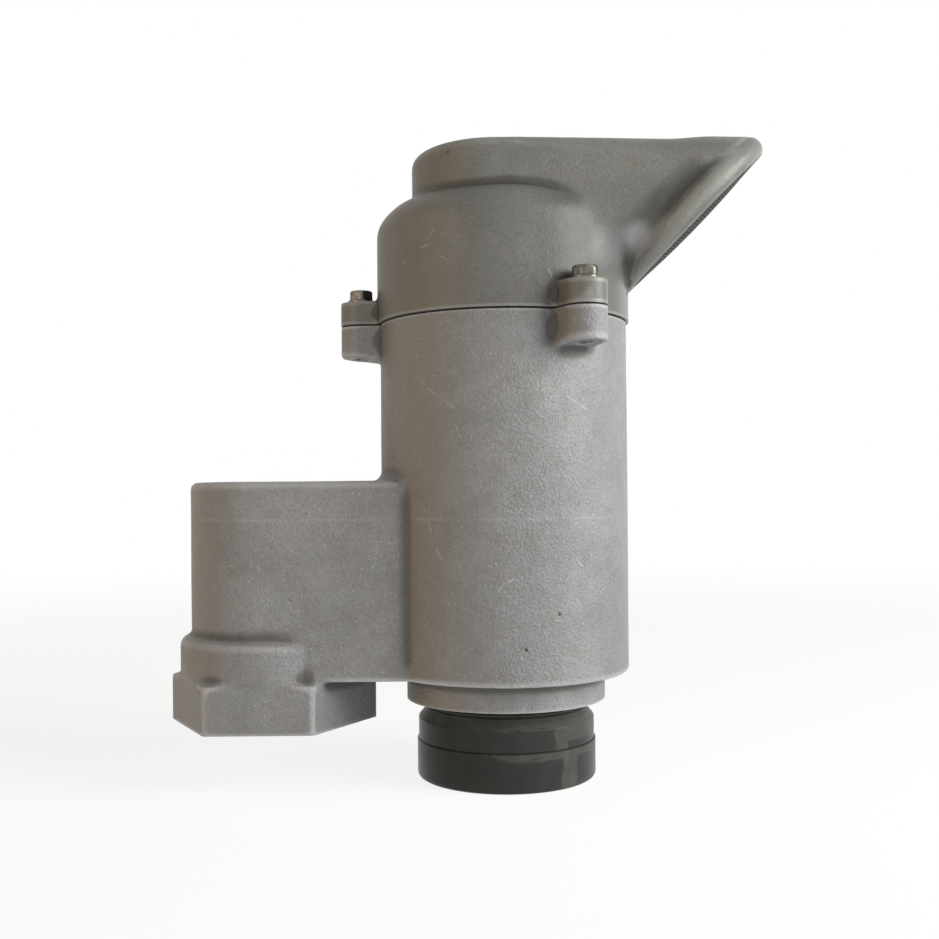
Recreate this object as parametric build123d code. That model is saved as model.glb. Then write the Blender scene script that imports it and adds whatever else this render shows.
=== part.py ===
from build123d import *
import os
from math import ceil, cos, hypot, pi, radians, sin, sqrt, tan

# Flame arrester vent, in millimetres. The origin is the centre of the threaded inlet at the bottom
# face of its hex, with +Z up and the body's axis towards +X. Every piece is drawn about the body's
# axis, at heights above the inlet face, and moved to that axis when it is written.

# Inlet arm
AXIS_OFFSET = 99.4  # inlet axis to body axis
HEX_FLATS = 76.2
HEX_HEIGHT = 20.2
HEX_CHAMFER_ANGLE = 30.0
COLLAR_RADIUS = 39.0
COLLAR_HEIGHT = 16.5
COLLAR_FILLET = 4.0
ARM_RADIUS = 34.3
ARM_LIFT = 0.1  # arm's underside above the hex
ARM_DROP = 7.0  # arm's top below the element's ledge
ARM_FILLET = 3.0
ARM_BLEND = 4.0
INLET_BORE = 28.2

# Body casting
BODY_RADIUS = 52.5
SEAM = 166.8  # middle of the hood gasket above the inlet face
BODY_WALL = 5.0
CHAMBER_WALL = 5.5
BODY_RIM_FILLET = 1.2
BOSS_WIDTH = 8.0  # ring boss beyond the housing's neck
BOSS_HEIGHT = 11.5
FLOOR_THICKNESS = 5.7
GASKET_THICKNESS = 0.8
GASKET_INSET = 0.6
LEDGE_DEPTH = 5.0
LEDGE_WIDTH = 5.5

# Lugs and hood screws
SCREW_ANGLES = (180.0, 60.0, -60.0)
SCREW_REACH = 8.1  # screw axis beyond the body's outside
LUG_RADIUS = 8.7
LOWER_LUG_HEIGHT = 15.0
LOWER_LUG_RISE = 2.1
UPPER_LUG_HEIGHT = 9.8
SCREW_RADIUS = 3.1
SCREW_CLEARANCE = 0.4
SCREW_THREAD_CLEARANCE = 0.15
SCREW_ENGAGEMENT = 11.4
SCREW_THREAD_DEPTH = 0.6
SCREW_HEAD_FLATS = 9.5
SCREW_HEAD_HEIGHT = 4.8
SCREW_HEAD_FACE = 0.48  # radius of the flat top as a share of the flats
WASHER_THICKNESS = 1.2
WASHER_WIDTH = 2.5
WASHER_SPLIT = 0.8

# Hood casting
HOOD_OVERHANG = 1.0
HOOD_WALL = 5.0
SHOULDER_RADIUS = 17.2
SHOULDER_RISE = 36.2  # centre of the shoulder's round above the seam
UPPER_END_SETBACK = 13.9  # upper chamber's left end inside the hood's outside
UPPER_SIDE_SETBACK = 10.5  # upper chamber's sides inside the hood's outside
UPPER_CORNER_FLAT = 7.0  # half of the flat between the two left corners
UPPER_START = 5.0
ROOF_RISE = 70.7  # roof above the seam
ROOF_FILLET = 5.0
MOUTH_ANGLE = 45.0
MOUTH_REACH = 28.3  # mouth's centre beyond the hood's outside
MOUTH_RISE = 42.1  # mouth's centre above the seam
RIM_CIRCLE = 37.5
RIM_BEAD = 5.7
RIM_LAND_CUT = 0.7
THROAT_CORNER = 24.0
THROAT_SETBACK = 4.0
THROAT_FLAT = 0.5
STOP_BOSS_RADIUS = 7.0
STOP_BOSS_ROOT = 10.0

# Mouth screen
SCREEN_THICKNESS = 1.0
SCREEN_RING_THICKNESS = 1.0
SCREEN_RING_WIDTH = 2.6
SCREEN_FIT = 0.2
SCREEN_PITCH = 6.0
SCREEN_WIRE = 1.4
SCREEN_BORDER = 1.6

# Main flame element
ELEMENT_FIT = 0.3
ELEMENT_HEIGHT = 32.0
ELEMENT_SHROUD_WALL = 3.0
ELEMENT_CORE_WALL = 2.2
ELEMENT_GASKET_THICKNESS = 1.0
GRID_THICKNESS = 2.0
GRID_RING_WIDTH = 4.2
GRID_HUB_WIDTH = 2.0
GRID_BAR_WIDTH = 3.0
GRID_BARS = 6

# Flame element ribbons
RIBBON_WRAP = 6.2
RIBBON_CRIMP = 7.4
FLAT_RIBBON_THICKNESS = 0.4
CRIMPED_RIBBON_THICKNESS = 0.3
RIBBON_GAP = 0.05
RIBBON_SIDE_GAP = 0.2

# Pressure valve
SEAT_CUP_DEPTH = 21.4  # seat's skirt below the top of the body
SEAT_FLANGE_THICKNESS = 3.0
SEAT_RABBET_WALL = 2.5
SEAT_FLANGE_FIT = 0.2
SEAT_SKIRT_WALL = 3.7
SEAT_PORT_RADIUS = 21.0
SEAT_PLATE_THICKNESS = 4.0
SEAT_LIP_WIDTH = 3.0
SEAT_LIP_HEIGHT = 3.0
SEAT_LIP_DROP = 9.4  # lip below the top of the body
GUIDE_WALL = 2.4
GUIDE_HEIGHT = 5.0
GUIDE_OVERLAP = 0.5  # guide below its ribs
GUIDE_RIBS = 3
GUIDE_RIB_WIDTH = 3.0
GUIDE_RIB_HEIGHT = 4.0
GUIDE_RIB_BITE = 9.0  # ribs under the plate beyond the port
PRESSURE_LIFT = 12.0
STOP_GAP = 0.2
PRESSURE_STEM_RADIUS = 3.0
STEM_FIT = 0.1
STEM_CORE_CLEARANCE = 0.8
PRESSURE_STEM_TAIL = 14.0
PALLET_OVERHANG = 3.5
PALLET_THICKNESS = 3.0
PALLET_RIM = 1.5
SEAL_THICKNESS = 1.5
SEAL_INSET = 1.5
RETAINER_THICKNESS = 2.0
RETAINER_CLEARANCE = 1.5
WEIGHT_INSET = 3.5
WEIGHT_HEIGHT = 20.0
WEIGHT_CHAMFER = 1.0
PRESSURE_NUT_FLATS = 10.0
PRESSURE_NUT_HEIGHT = 4.0
LOWER_NUT_FLATS = 8.0
LOWER_NUT_HEIGHT = 3.2
STEM_END = 2.5
STEM_CHAMFER = 0.25  # share of the stem's radius

# Vacuum housing
HOUSING_NECK_RADIUS = 34.3
HOUSING_NECK_HEIGHT = 3.7
HOUSING_THREAD_INSET = 0.9
HOUSING_THREAD_FIT = 0.15
HOUSING_GASKET_THICKNESS = 0.8
HOUSING_CHAMFER_WIDTH = 3.1
HOUSING_CHAMFER_HEIGHT = 3.5
HOUSING_BAND_HEIGHT = 9.1
HOUSING_BASE_STEP = 0.6
HOUSING_BASE_HEIGHT = 16.2
HOUSING_WALL = 5.0
HOUSING_TOP_RISE = 4.0  # valve end above the body's floor
HOUSING_PORT_RADIUS = 24.0
HOUSING_PORT_LEDGE = 2.0
VACUUM_LIP_HEIGHT = 3.0
VACUUM_LIP_WIDTH = 3.0

# Vacuum valve
SPIDER_HEIGHT = 6.0
SPIDER_RING_WIDTH = 2.4
SPIDER_HUB_WALL = 2.4
SPIDER_RIBS = 3
SPIDER_RIB_WIDTH = 2.5
SPIDER_FIT = 0.1
VACUUM_LIFT = 8.0
VACUUM_STEM_RADIUS = 2.5
VACUUM_PALLET_OVERHANG = 2.0
VACUUM_NUT_FLATS = 8.0
VACUUM_NUT_HEIGHT = 3.2
VACUUM_STEM_TAIL = 1.3
VACUUM_STEM_CLEARANCE = 1.5  # stem's lower end above the element's core

# Vacuum flame element, screen and snap ring
VACUUM_ELEMENT_HEIGHT = 15.0
VACUUM_ELEMENT_FIT = 0.2
VACUUM_SHROUD_WALL = 2.0
VACUUM_CORE_RADIUS = 5.0
SNAP_RING_SETBACK = 3.0  # ring above the housing's lower end
SNAP_RING_THICKNESS = 1.5
SNAP_RING_WIDTH = 3.7
SNAP_GROOVE_DEPTH = 1.5
SNAP_RING_FIT = 0.3
SNAP_RING_GAP = 9.0

# Body casting: heights and radii that follow
BODY_BOTTOM = HEX_HEIGHT + ARM_LIFT
COLLAR_TOP = HEX_HEIGHT + COLLAR_HEIGHT
BODY_TOP = SEAM - GASKET_THICKNESS / 2
BOSS_BOTTOM = BODY_BOTTOM - BOSS_HEIGHT
BOSS_RADIUS = HOUSING_NECK_RADIUS + BOSS_WIDTH
FLOOR_TOP = BODY_BOTTOM + FLOOR_THICKNESS
UPPER_BORE = BODY_RADIUS - BODY_WALL
CHAMBER_RADIUS = BODY_RADIUS - CHAMBER_WALL
SCREW_CIRCLE = BODY_RADIUS + SCREW_REACH
SCREW_TAP_RADIUS = SCREW_RADIUS - SCREW_THREAD_DEPTH

# Hood casting
HOOD_BOTTOM = SEAM + GASKET_THICKNESS / 2
HOOD_RADIUS = BODY_RADIUS + HOOD_OVERHANG
HOOD_BORE = HOOD_RADIUS - HOOD_WALL
LUG_TOP = HOOD_BOTTOM + UPPER_LUG_HEIGHT
SHOULDER_CENTRE = SEAM + SHOULDER_RISE
ROOF = SEAM + ROOF_RISE
UPPER_END = HOOD_RADIUS - UPPER_END_SETBACK
UPPER_HALF_WIDTH = HOOD_RADIUS - UPPER_SIDE_SETBACK
UPPER_CORNER = UPPER_HALF_WIDTH - UPPER_CORNER_FLAT
MOUTH_RECESS_RADIUS = RIM_CIRCLE - SCREEN_RING_WIDTH + SCREEN_FIT
MOUTH_RECESS_DEPTH = SCREEN_THICKNESS + SCREEN_RING_THICKNESS
MOUTH_BORE = RIM_CIRCLE - RIM_BEAD
SCREEN_RADIUS = MOUTH_RECESS_RADIUS - SCREEN_FIT

# Main flame element, from the seat down
SEAT_SKIRT_BOTTOM = BODY_TOP - SEAT_CUP_DEPTH
UPPER_GRID_TOP = SEAT_SKIRT_BOTTOM - ELEMENT_GASKET_THICKNESS
ELEMENT_TOP = UPPER_GRID_TOP - GRID_THICKNESS
ELEMENT_BOTTOM = ELEMENT_TOP - ELEMENT_HEIGHT
LEDGE_TOP = ELEMENT_BOTTOM - GRID_THICKNESS
ARM_TOP = LEDGE_TOP - ARM_DROP
ELEMENT_RADIUS = UPPER_BORE - ELEMENT_FIT
CORE_BORE = PRESSURE_STEM_RADIUS + STEM_CORE_CLEARANCE
ELEMENT_CORE_RADIUS = CORE_BORE + ELEMENT_CORE_WALL
GRID_HUB_RADIUS = ELEMENT_CORE_RADIUS + GRID_HUB_WIDTH

# Pressure valve, from the seat up
SEAT_FLANGE_BOTTOM = BODY_TOP - SEAT_FLANGE_THICKNESS
SEAT_FLANGE_RADIUS = BODY_RADIUS - SEAT_RABBET_WALL - SEAT_FLANGE_FIT
SEAT_LIP_TOP = BODY_TOP - SEAT_LIP_DROP
SEAT_PLATE_TOP = SEAT_LIP_TOP - SEAT_LIP_HEIGHT
SEAT_PLATE_BOTTOM = SEAT_PLATE_TOP - SEAT_PLATE_THICKNESS
GUIDE_BOTTOM = SEAT_PLATE_BOTTOM - GUIDE_RIB_HEIGHT - GUIDE_OVERLAP
GUIDE_RADIUS = PRESSURE_STEM_RADIUS + STEM_FIT + GUIDE_WALL
PRESSURE_PALLET_RADIUS = SEAT_PORT_RADIUS + SEAT_LIP_WIDTH + PALLET_OVERHANG
PRESSURE_PALLET_BOTTOM = SEAT_LIP_TOP + SEAL_THICKNESS
WEIGHT_RADIUS = PRESSURE_PALLET_RADIUS - WEIGHT_INSET
WEIGHT_BOTTOM = PRESSURE_PALLET_BOTTOM + PALLET_THICKNESS
WEIGHT_TOP = WEIGHT_BOTTOM + WEIGHT_HEIGHT
PRESSURE_STEM_TOP = WEIGHT_TOP + PRESSURE_NUT_HEIGHT + STEM_END
STOP_BOSS_BOTTOM = PRESSURE_STEM_TOP + PRESSURE_LIFT + STOP_GAP

# Vacuum housing, from the boss down
HOUSING_THREAD_RADIUS = HOUSING_NECK_RADIUS - HOUSING_THREAD_INSET
HOUSING_BAND_RADIUS = HOUSING_NECK_RADIUS + HOUSING_CHAMFER_WIDTH
HOUSING_BASE_RADIUS = HOUSING_BAND_RADIUS + HOUSING_BASE_STEP
HOUSING_POCKET_RADIUS = HOUSING_BASE_RADIUS - HOUSING_WALL
HOUSING_LOWER_PORT_RADIUS = HOUSING_PORT_RADIUS - HOUSING_PORT_LEDGE
HOUSING_TOP = FLOOR_TOP + HOUSING_TOP_RISE
HOUSING_NECK_TOP = BOSS_BOTTOM - HOUSING_GASKET_THICKNESS
HOUSING_NECK_BOTTOM = HOUSING_NECK_TOP - HOUSING_NECK_HEIGHT
HOUSING_BAND_TOP = HOUSING_NECK_BOTTOM - HOUSING_CHAMFER_HEIGHT
HOUSING_STEP = HOUSING_BAND_TOP - HOUSING_BAND_HEIGHT
HOUSING_BOTTOM = HOUSING_STEP - HOUSING_BASE_HEIGHT

# Vacuum element, screen and snap ring, from the housing's lower end up
SNAP_RING_BOTTOM = HOUSING_BOTTOM + SNAP_RING_SETBACK
VACUUM_SCREEN_BOTTOM = SNAP_RING_BOTTOM + SNAP_RING_THICKNESS
VACUUM_ELEMENT_BOTTOM = VACUUM_SCREEN_BOTTOM + SCREEN_THICKNESS
HOUSING_POCKET_TOP = VACUUM_ELEMENT_BOTTOM + VACUUM_ELEMENT_HEIGHT
VACUUM_ELEMENT_RADIUS = HOUSING_POCKET_RADIUS - VACUUM_ELEMENT_FIT

# Vacuum valve
VACUUM_STEM_BOTTOM = HOUSING_POCKET_TOP + VACUUM_STEM_CLEARANCE
VACUUM_STOP_BOTTOM = VACUUM_STEM_BOTTOM + VACUUM_STEM_TAIL
VACUUM_STOP_TOP = VACUUM_STOP_BOTTOM + VACUUM_NUT_HEIGHT
SPIDER_SEAT = VACUUM_STOP_TOP + VACUUM_LIFT
SPIDER_HUB_RADIUS = VACUUM_STEM_RADIUS + STEM_FIT + SPIDER_HUB_WALL
VACUUM_LIP_TOP = HOUSING_TOP + VACUUM_LIP_HEIGHT
VACUUM_PALLET_BOTTOM = VACUUM_LIP_TOP + SEAL_THICKNESS
VACUUM_PALLET_TOP = VACUUM_PALLET_BOTTOM + PALLET_THICKNESS
VACUUM_PALLET_RADIUS = HOUSING_PORT_RADIUS + VACUUM_LIP_WIDTH + VACUUM_PALLET_OVERHANG

EDGE_MATCH = 0.01  # how near an edge lies to the place it is picked by
BASE = (Align.CENTER, Align.CENTER, Align.MIN)
MOUTH = Plane(
    origin=(HOOD_RADIUS + MOUTH_REACH, 0, SEAM + MOUTH_RISE),
    x_dir=(cos(radians(MOUTH_ANGLE)), 0, sin(radians(MOUTH_ANGLE))),
    z_dir=(sin(radians(MOUTH_ANGLE)), 0, -cos(radians(MOUTH_ANGLE))),
)


def turned(radius, low, high, bore=0.0):
    """A disc or a tube on the body's axis, between two heights."""
    solid = Pos(0, 0, low) * Cylinder(radius, high - low, align=BASE)
    if bore:
        solid -= Pos(0, 0, low) * Cylinder(bore, high - low, align=BASE)
    return solid


def hexagon(flats, low, high):
    """A hex prism on the body's axis with a corner towards +X."""
    outline = RegularPolygon(flats / 2, 6, major_radius=False)
    return Pos(0, 0, low) * extrude(outline, high - low)


def spokes(count, inner, outer, width, low, high):
    """Radial bars spaced evenly round the body's axis."""
    bar = Pos((inner + outer) / 2, 0, low) * Box(outer - inner, width, high - low, align=BASE)
    return [Rot(0, 0, 360 * turn / count) * bar for turn in range(count)]


def lug_plan(radius):
    """Outline of the three lugs: a round end on the screw circle and straight flanks to the axis."""
    lug = Circle(radius)
    lug = Pos(SCREW_CIRCLE, 0) * lug + Pos(SCREW_CIRCLE / 2, 0) * Rectangle(SCREW_CIRCLE, 2 * radius)
    plan = Sketch()
    for angle in SCREW_ANGLES:
        plan += Rot(0, 0, angle) * lug
    return plan


def at_screws(solid):
    """Copies of a solid at the three screw places."""
    return [Rot(0, 0, angle) * Pos(SCREW_CIRCLE, 0, 0) * solid for angle in SCREW_ANGLES]


def arm_plan(radius):
    """Outline of the side arm: round about the inlet axis and straight to the body's axis."""
    end = Pos(-AXIS_OFFSET, 0) * Circle(radius)
    return end + Pos(-AXIS_OFFSET / 2, 0) * Rectangle(AXIS_OFFSET, 2 * radius)


def inlet_hex():
    """The wrench hex with its top corners turned down."""
    prism = hexagon(HEX_FLATS, 0, HEX_HEIGHT)
    corner = HEX_FLATS / sqrt(3)
    drop = (corner - COLLAR_RADIUS) * tan(radians(HEX_CHAMFER_ANGLE))
    profile = Polyline(
        (0, 0),
        (corner, 0),
        (corner, HEX_HEIGHT - drop),
        (COLLAR_RADIUS, HEX_HEIGHT),
        (0, HEX_HEIGHT),
        close=True,
    )
    turned_hex = revolve(Plane.XZ * make_face(profile), Axis.Z)
    return Pos(-AXIS_OFFSET, 0, 0) * (prism & turned_hex)


def lower_lugs():
    """Three lugs whose undersides rise outwards."""
    lugs = extrude(lug_plan(LUG_RADIUS), LOWER_LUG_HEIGHT)
    reach = SCREW_CIRCLE + LUG_RADIUS
    profile = Polyline(
        (0, 0),
        (CHAMBER_RADIUS, 0),
        (reach, LOWER_LUG_RISE),
        (reach, LOWER_LUG_HEIGHT),
        (0, LOWER_LUG_HEIGHT),
        close=True,
    )
    slope = revolve(Plane.XZ * make_face(profile), Axis.Z)
    lugs = Pos(0, 0, BODY_TOP - LOWER_LUG_HEIGHT) * (lugs & slope)
    return lugs - turned(CHAMBER_RADIUS, 0, BODY_TOP)


def beside_arm(edge):
    """Whether an upright edge lies where the arm's flank meets the round body."""
    place = edge.center()
    return place.X < 0 and abs(hypot(place.X, place.Y) - BODY_RADIUS) < EDGE_MATCH


def body_casting():
    """Body: outside forms joined, then the arm channel, chamber, ledge and bores cut."""
    arm = Pos(0, 0, BODY_BOTTOM) * extrude(arm_plan(ARM_RADIUS), ARM_TOP - BODY_BOTTOM)
    arm = fillet(arm.edges().group_by(Axis.Z)[-1], ARM_FILLET)
    shell = turned(BODY_RADIUS, BODY_BOTTOM, BODY_TOP) + arm
    shell = fillet(shell.edges().filter_by(Axis.Z).filter_by(beside_arm), ARM_BLEND)
    shell = fillet(shell.edges().group_by(Axis.Z)[0], BODY_RIM_FILLET)
    collar = Pos(-AXIS_OFFSET, 0, HEX_HEIGHT) * Cylinder(COLLAR_RADIUS, COLLAR_TOP - HEX_HEIGHT, align=BASE)
    collar = fillet(collar.edges().group_by(Axis.Z)[-1], COLLAR_FILLET)
    boss = turned(BOSS_RADIUS, BOSS_BOTTOM, BODY_BOTTOM)
    shell = shell + collar + inlet_hex() + boss + lower_lugs()

    channel = extrude(arm_plan(ARM_RADIUS - BODY_WALL), ARM_TOP - BODY_WALL - FLOOR_TOP)
    shell -= Pos(0, 0, FLOOR_TOP) * channel
    shell -= Pos(-AXIS_OFFSET, 0, 0) * Cylinder(INLET_BORE, FLOOR_TOP, align=BASE)
    shell -= turned(HOUSING_THREAD_RADIUS, BOSS_BOTTOM, FLOOR_TOP)
    shell -= turned(CHAMBER_RADIUS, FLOOR_TOP, LEDGE_TOP - LEDGE_DEPTH)
    shell -= turned(UPPER_BORE - LEDGE_WIDTH, FLOOR_TOP, LEDGE_TOP)
    shell -= turned(UPPER_BORE, LEDGE_TOP, BODY_TOP)
    shell -= turned(SEAT_FLANGE_RADIUS + SEAT_FLANGE_FIT, SEAT_FLANGE_BOTTOM, BODY_TOP)
    tap = Pos(0, 0, BODY_TOP - LOWER_LUG_HEIGHT) * Cylinder(SCREW_TAP_RADIUS, LOWER_LUG_HEIGHT, align=BASE)
    tap += Pos(0, 0, BODY_TOP - SCREW_ENGAGEMENT) * Cylinder(
        SCREW_RADIUS + SCREW_THREAD_CLEARANCE, SCREW_ENGAGEMENT, align=BASE
    )
    for hole in at_screws(tap):
        shell -= hole
    return shell


def hood_lower(inset):
    """The hood's turned lower part with its round shoulder, drawn in by an inset."""
    radius = HOOD_RADIUS - inset
    arc = SHOULDER_RADIUS - inset
    top = SHOULDER_CENTRE + arc
    middle = (radius - arc + arc * cos(pi / 4), SHOULDER_CENTRE + arc * sin(pi / 4))
    outline = Polyline((0, top), (0, HOOD_BOTTOM), (radius, HOOD_BOTTOM), (radius, SHOULDER_CENTRE))
    outline += ThreePointArc((radius, SHOULDER_CENTRE), middle, (radius - arc, top))
    outline += Line((radius - arc, top), (0, top))
    return revolve(Plane.XZ * make_face(outline), Axis.Z)


def upper_end(inset):
    """The rounded left end of the upper chamber, drawn in by an inset."""
    half = UPPER_HALF_WIDTH - inset
    corner = UPPER_CORNER - inset
    left = -UPPER_END + inset
    plan = Pos(left + corner, 0) * Rectangle(2 * corner, 2 * (half - corner))
    plan += Pos(left + corner, half - corner) * Circle(corner)
    plan += Pos(left + corner, corner - half) * Circle(corner)
    keep = Pos(left + corner, 0) * Rectangle(4 * corner, 4 * half, align=(Align.MAX, Align.CENTER))
    plan = plan & keep
    plan += Pos((left + corner + UPPER_START) / 2, 0) * Rectangle(UPPER_START - left - corner, 2 * half)
    low = SHOULDER_CENTRE - SHOULDER_RADIUS + inset
    end = Pos(0, 0, low) * extrude(plan, ROOF - inset - low)
    start = UPPER_START - EDGE_MATCH
    rim = end.edges().group_by(Axis.Z)[-1].filter_by(lambda edge: edge.center().X < start)
    return fillet(rim, ROOF_FILLET)


def section(half, low, high, low_corner, top_corner):
    """A four-sided face, two halves wide, with round lower and upper corners."""
    corners = (-half, low), (half, low), (half, high), (-half, high)
    radii = (low_corner, low_corner, top_corner, top_corner)
    return make_face(FilletPolyline(*corners, radius=radii, close=True))


def spout(inset):
    """The spout: from the upright section of the upper chamber to the round throat behind the rim."""
    upright = Plane(origin=(UPPER_START, 0, 0), x_dir=(0, 1, 0), z_dir=(1, 0, 0))
    low = SHOULDER_CENTRE - SHOULDER_RADIUS + inset
    first = upright * section(UPPER_HALF_WIDTH - inset, low, ROOF - inset, ROOF_FILLET, ROOF_FILLET)
    behind = MOUTH.offset(RIM_LAND_CUT - RIM_BEAD - THROAT_SETBACK)
    throat = Plane(origin=behind.origin, x_dir=(0, 1, 0), z_dir=behind.z_dir)
    reach = RIM_CIRCLE - inset
    last = throat * section(reach, -reach, reach, reach - THROAT_FLAT, THROAT_CORNER - inset)
    return loft([first.face(), last.face()], ruled=True)


def upper_lugs():
    """Three lugs on the hood over those of the body."""
    lugs = Pos(0, 0, HOOD_BOTTOM) * extrude(lug_plan(LUG_RADIUS), UPPER_LUG_HEIGHT)
    return lugs - turned(HOOD_BORE, HOOD_BOTTOM, LUG_TOP)


def rolled_rim():
    """The rolled rim round the mouth, machined flat on its face."""
    rim = MOUTH.offset(RIM_LAND_CUT - RIM_BEAD) * Torus(RIM_CIRCLE, RIM_BEAD)
    return rim - MOUTH * Cylinder(2 * RIM_CIRCLE, RIM_BEAD, align=BASE)


def hood_casting():
    """Hood: turned part, chamber, spout and rim joined, then hollowed round the stop boss."""
    shell = hood_lower(0) + upper_end(0) + spout(0) + rolled_rim() + upper_lugs()
    hollow = hood_lower(HOOD_WALL) + upper_end(HOOD_WALL) + spout(HOOD_WALL)
    hollow -= stop_boss()
    shell -= hollow
    depth = RIM_BEAD - RIM_LAND_CUT + THROAT_SETBACK
    shell -= MOUTH.offset(-depth) * Cylinder(MOUTH_BORE, depth, align=BASE)
    recess = Cylinder(MOUTH_RECESS_RADIUS, MOUTH_RECESS_DEPTH, align=BASE)
    shell -= MOUTH.offset(-MOUTH_RECESS_DEPTH) * recess
    hole = Pos(0, 0, HOOD_BOTTOM) * Cylinder(SCREW_RADIUS + SCREW_CLEARANCE, UPPER_LUG_HEIGHT, align=BASE)
    for place in at_screws(hole):
        shell -= place
    return shell


def stop_boss():
    """The tapered boss that stops the pressure valve's stem."""
    height = ROOF - STOP_BOSS_BOTTOM
    return Pos(0, 0, STOP_BOSS_BOTTOM) * Cone(STOP_BOSS_RADIUS, STOP_BOSS_ROOT, height, align=BASE)


def hood_gasket():
    """Flat gasket, a little smaller than the seam that it fills."""
    plan = Circle(BODY_RADIUS - GASKET_INSET) + lug_plan(LUG_RADIUS - GASKET_INSET) - Circle(HOOD_BORE)
    for hole in at_screws(Circle(SCREW_RADIUS + SCREW_CLEARANCE)):
        plan -= hole
    return Pos(0, 0, BODY_TOP) * extrude(plan, GASKET_THICKNESS)


def hood_screws():
    """Hex head screws with turned-down corners."""
    head_low = LUG_TOP + WASHER_THICKNESS
    head_high = head_low + SCREW_HEAD_HEIGHT
    head = hexagon(SCREW_HEAD_FLATS, head_low, head_high)
    corner = SCREW_HEAD_FLATS / sqrt(3)
    drop = (corner - SCREW_HEAD_FLATS * SCREW_HEAD_FACE) * tan(radians(HEX_CHAMFER_ANGLE))
    profile = Polyline(
        (0, head_low),
        (corner, head_low),
        (corner, head_high - drop),
        (SCREW_HEAD_FLATS * SCREW_HEAD_FACE, head_high),
        (0, head_high),
        close=True,
    )
    head = head & revolve(Plane.XZ * make_face(profile), Axis.Z)
    return at_screws(head + turned(SCREW_RADIUS, BODY_TOP - SCREW_ENGAGEMENT, head_low))


def lock_washers():
    """Split lock washers, the split turned outwards."""
    bore = SCREW_RADIUS + SCREW_CLEARANCE
    washer = turned(bore + WASHER_WIDTH, LUG_TOP, LUG_TOP + WASHER_THICKNESS, bore)
    reach = 2 * (bore + WASHER_WIDTH)
    split = Box(reach, WASHER_SPLIT, WASHER_THICKNESS, align=(Align.MIN, Align.CENTER, Align.MIN))
    return at_screws(washer - Pos(0, 0, LUG_TOP) * split)


def screen(radius, low):
    """A flat screen: a border and a lattice of wires."""
    count = ceil(2 * radius / SCREEN_PITCH)
    window = SCREEN_PITCH - SCREEN_WIRE
    plan = Circle(radius)
    reach = radius - SCREEN_BORDER
    for place in GridLocations(SCREEN_PITCH, SCREEN_PITCH, count, count):
        across, up = place.position.X, place.position.Y
        if hypot(abs(across) + window / 2, abs(up) + window / 2) < reach:
            plan -= place * Rectangle(window, window)
    return Pos(0, 0, low) * extrude(plan, SCREEN_THICKNESS)


def mouth_screen():
    """The screen in the mouth, flush with the rim's face."""
    return MOUTH * screen(SCREEN_RADIUS, -SCREEN_THICKNESS)


def mouth_screen_ring():
    """The spacer ring under the mouth screen."""
    return MOUTH.offset(-SCREEN_THICKNESS) * turned(
        SCREEN_RADIUS, -SCREEN_RING_THICKNESS, 0, SCREEN_RADIUS - SCREEN_RING_WIDTH
    )


def grid(radius, low, bore=0.0):
    """A support grid for the main flame element: ring, hub and spokes."""
    high = low + GRID_THICKNESS
    plate = turned(radius, low, high, radius - GRID_RING_WIDTH) + turned(GRID_HUB_RADIUS, low, high)
    for bar in spokes(GRID_BARS, 0, radius - GRID_RING_WIDTH / 2, GRID_BAR_WIDTH, low, high):
        plate += bar
    if bore:
        plate -= turned(bore, low, high)
    return plate


def crest_angles(inner, outer, wrap):
    """Angles of the valleys and crests along a spiral strip, half a crimp apart."""
    angles = [0.0]
    while inner + wrap * (angles[-1] / (2 * pi) + 1) < outer:
        radius = inner + wrap * angles[-1] / (2 * pi)
        angles.append(angles[-1] + RIBBON_CRIMP / 2 / radius)
    return angles[:-1]


def strip(points, thickness, low, high):
    """An upright strip along points given as radius and angle."""
    inside = [((r - thickness / 2) * cos(a), (r - thickness / 2) * sin(a)) for r, a in points]
    outside = [((r + thickness / 2) * cos(a), (r + thickness / 2) * sin(a)) for r, a in points]
    outline = Polyline(*inside, *reversed(outside), close=True)
    return Pos(0, 0, low) * extrude(make_face(outline), high - low)


def ribbons(inner, outer, low, high):
    """The flat and the crimped ribbon of a flame element, wound together between two radii."""
    first = inner + RIBBON_CRIMP**2 / (8 * inner) + RIBBON_SIDE_GAP + FLAT_RIBBON_THICKNESS / 2
    wrap = (outer - first) / round((outer - first) / RIBBON_WRAP)
    angles = crest_angles(first, outer, wrap)
    flat, crimped = [], []
    rise = (FLAT_RIBBON_THICKNESS + CRIMPED_RIBBON_THICKNESS) / 2 + RIBBON_GAP
    for count, angle in enumerate(angles):
        radius = first + wrap * angle / (2 * pi)
        if count % 2 == 0:
            flat.append((radius, angle))
            crimped.append((radius + rise, angle))
        else:
            sag = RIBBON_CRIMP**2 / (8 * (radius + wrap))
            crimped.append((radius + wrap - rise - sag, angle))
    return (
        strip(flat, FLAT_RIBBON_THICKNESS, low, high),
        strip(crimped, CRIMPED_RIBBON_THICKNESS, low, high),
    )


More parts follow.
